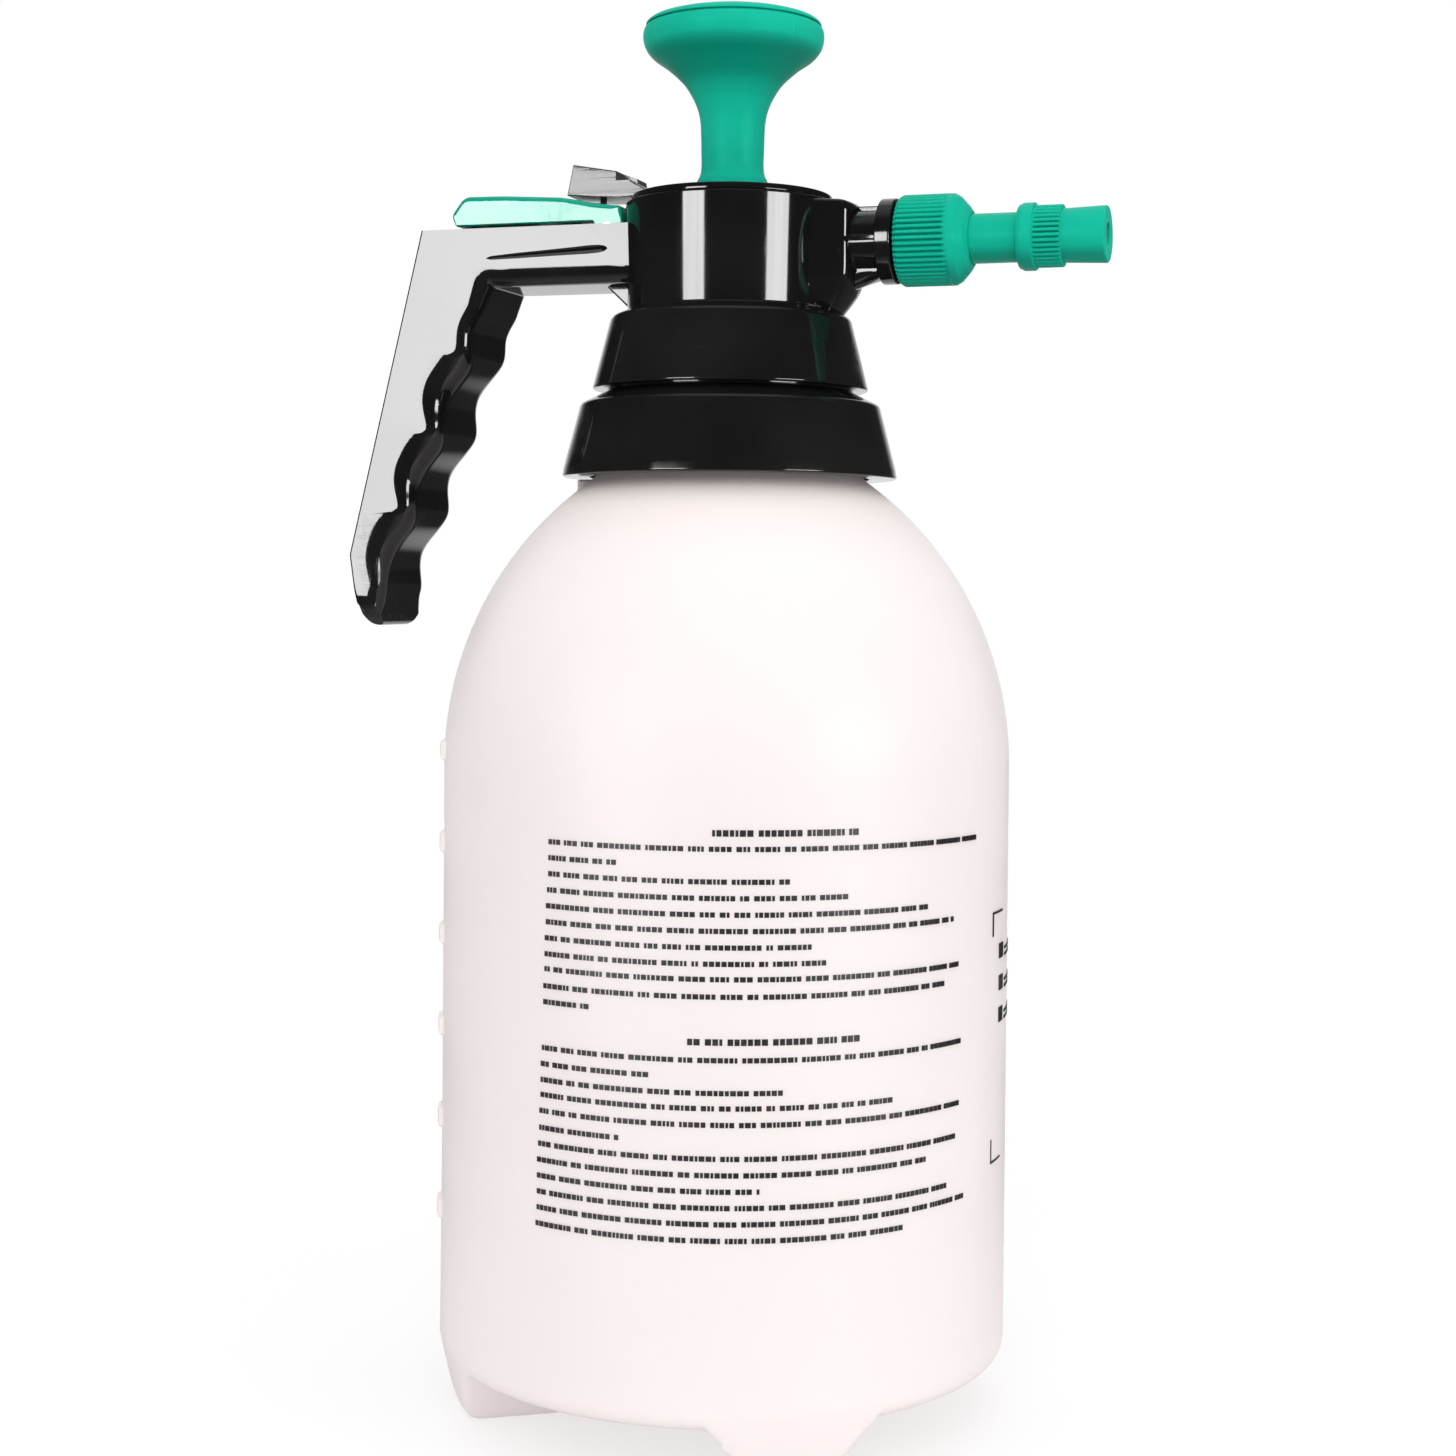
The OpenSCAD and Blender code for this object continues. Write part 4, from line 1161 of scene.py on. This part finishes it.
def floor_material():
    """Matt near the bottle, fading to seamless white further out."""
    S = material_shader("pale_floor")
    coords = S.coords("Object")
    length = S.node("ShaderNodeVectorMath")
    length.operation = "LENGTH"
    S.link(coords, length.inputs[0])
    distance = length.outputs["Value"]
    fade = S.ramp(distance, start=0.09, end=0.30, low=0.55, high=1.0)
    matt = S.node("ShaderNodeBsdfDiffuse")
    matt.inputs["Color"].default_value = (0.93, 0.93, 0.93, 1)
    glow = S.node("ShaderNodeEmission")
    glow.inputs["Color"].default_value = (1, 1, 1, 1)
    rays = S.node("ShaderNodeLightPath")
    camera_ray, glossy_ray = rays.outputs["Is Camera Ray"], rays.outputs["Is Glossy Ray"]
    # reflections see a bright floor only behind the bottle
    azimuth = math.radians(VIEW_AZIMUTH)
    away = S.node("ShaderNodeVectorMath")
    away.operation = "DOT_PRODUCT"
    S.link(coords, away.inputs[0])
    away.inputs[1].default_value = (-math.sin(azimuth), math.cos(azimuth), 0)
    cosine = S.math("DIVIDE", away.outputs["Value"], S.math("MAXIMUM", distance, 0.01))
    behind = S.ramp(cosine, start=0.90, end=0.98, low=0.08, high=1.0)
    # only a camera ray sees full white: the floor's bounce light stays a little lower
    bounce = 0.80
    soft = S.add(S.mul(glossy_ray, behind), S.mul(S.invert(glossy_ray), bounce))
    strength = S.add(camera_ray, S.mul(S.invert(camera_ray), soft))
    S.link(strength, glow.inputs["Strength"])
    mixed = S.node("ShaderNodeMixShader")
    S.link(fade, mixed.inputs[0])
    S.link(matt.outputs[0], mixed.inputs[1])
    S.link(glow.outputs[0], mixed.inputs[2])
    S.link(mixed.outputs[0], S.output.inputs["Surface"])
    return S.material


def build_floor():
    floor_z = -0.05
    radii = (0, 100, 200, 300, 450, 700, 1200, 2000, 3000)
    verts, faces = revolve([(r, floor_z) for r in radii], 96)
    floor = new_obj("studio_floor", verts, faces)
    # an open disc has no outside, so its normals may come out facing down
    if floor.data.polygons[0].normal.z < 0:
        floor.data.flip_normals()
    floor.data.materials.append(floor_material())


# ------------------------------------------------------------------ world, lights, camera

def build_world():
    """White to the camera, softboxes and backdrop in reflections, even light on matt surfaces."""
    world = bpy.data.worlds.new("studio")
    bpy.context.scene.world = world
    world.use_nodes = True
    S = Shader(world.node_tree, "ShaderNodeOutputWorld")
    background = S.node("ShaderNodeBackground")
    coords = S.coords("Generated")
    x, y, z = S.split(coords)
    # degrees: azimuth from -Y towards +X, elevation from the horizon
    azimuth = S.mul(S.math("ARCTAN2", x, S.mul(y, -1.0)), 180 / PI)
    elevation = S.mul(S.math("ARCSINE", z), 180 / PI)

    def band(value, start, end, soft):
        return S.mul(S.ramp(value, start - soft, start + soft),
                     S.ramp(value, end - soft, end + soft, low=1.0, high=0.0))

    def softbox(sides, heights):
        return S.mul(band(azimuth, *sides, soft=0.6), band(elevation, *heights, soft=1.0))

    boxes = S.math("MAXIMUM", softbox((-36, -12), (-14, 18)), softbox((56, 81), (-14, 13)))
    uneven = S.ramp(S.noise(coords, scale=11.0, detail=3.0, rough=0.55),
                    start=0.30, end=0.70, low=15.9, high=18.6)
    boxes = S.mul(boxes, uneven)
    # white backdrop behind, dark on the camera's side, a soft overhead
    off = S.math("ABSOLUTE", S.math("SUBTRACT", azimuth, float(VIEW_AZIMUTH)))
    off = S.math("MINIMUM", off, S.math("SUBTRACT", 360.0, off))
    backdrop = S.ramp(off, start=147, end=166, low=0.035, high=0.95)
    overhead = S.ramp(elevation, start=48, end=80, high=0.55)
    gloss = S.add(S.math("MAXIMUM", backdrop, overhead), boxes)
    # light for matt surfaces: bright all round, a little less from below
    matt = S.ramp(elevation, start=-50, end=35, low=0.60, high=0.96)
    rays = S.node("ShaderNodeLightPath").outputs
    unseen = S.add(S.mul(gloss, rays["Is Glossy Ray"]),
                   S.mul(matt, S.invert(rays["Is Glossy Ray"])))
    camera_ray = rays["Is Camera Ray"]
    strength = S.add(S.mul(camera_ray, 1.0), S.mul(unseen, S.invert(camera_ray)))
    S.link(strength, background.inputs["Strength"])
    background.inputs["Color"].default_value = (1, 1, 1, 1)
    S.link(background.outputs[0], S.output.inputs["Surface"])


def area_light(name, location, target, size, power):
    """A rectangular light in metres and watts, hidden from reflections and the camera."""
    light = bpy.data.lights.new(name, "AREA")
    light.shape = "RECTANGLE"
    light.size, light.size_y = size
    light.energy = power
    light.color = (1, 1, 1)
    ob = link_object(name, light)
    ob.location = location
    ob.rotation_mode = "QUATERNION"
    ob.rotation_quaternion = (Vector(target) - Vector(location)).to_track_quat("-Z", "Y")
    ob.visible_glossy = False
    ob.visible_camera = False


def build_camera():
    azimuth, pitch, roll = (math.radians(d) for d in (VIEW_AZIMUTH, 1.387, 0.55))
    distance, height = 0.53505, 0.18268         # metres, from the bottle's axis and base
    data = bpy.data.cameras.new("camera")
    data.sensor_width = 36.0
    data.lens = 59.118132
    data.shift_y = -0.06
    data.clip_start, data.clip_end = 0.01, 20
    camera = link_object("camera", data)
    camera.location = (distance * math.sin(azimuth), -distance * math.cos(azimuth), height)
    forward = Vector((-math.sin(azimuth) * math.cos(pitch),
                      math.cos(azimuth) * math.cos(pitch), -math.sin(pitch)))
    camera.rotation_mode = "QUATERNION"
    camera.rotation_quaternion = (forward.to_track_quat("-Z", "Y")
                                  @ Matrix.Rotation(roll, 4, "Z").to_quaternion())
    bpy.context.scene.camera = camera


build_floor()
build_world()
area_light("key", location=(0.25, -1.20, 0.80), target=(0, 0, 0.17), size=(0.7, 0.9), power=4.6)
area_light("fill", location=(1.25, -0.35, 0.45), target=(0, 0, 0.17), size=(0.6, 0.9), power=2.5)
area_light("over", location=(0.0, 0.0, 1.35), target=(0, 0, 0.2), size=(0.9, 0.9), power=1.3)
build_camera()
bpy.context.scene.view_settings.view_transform = "Standard"
bpy.context.scene.view_settings.look = "None"
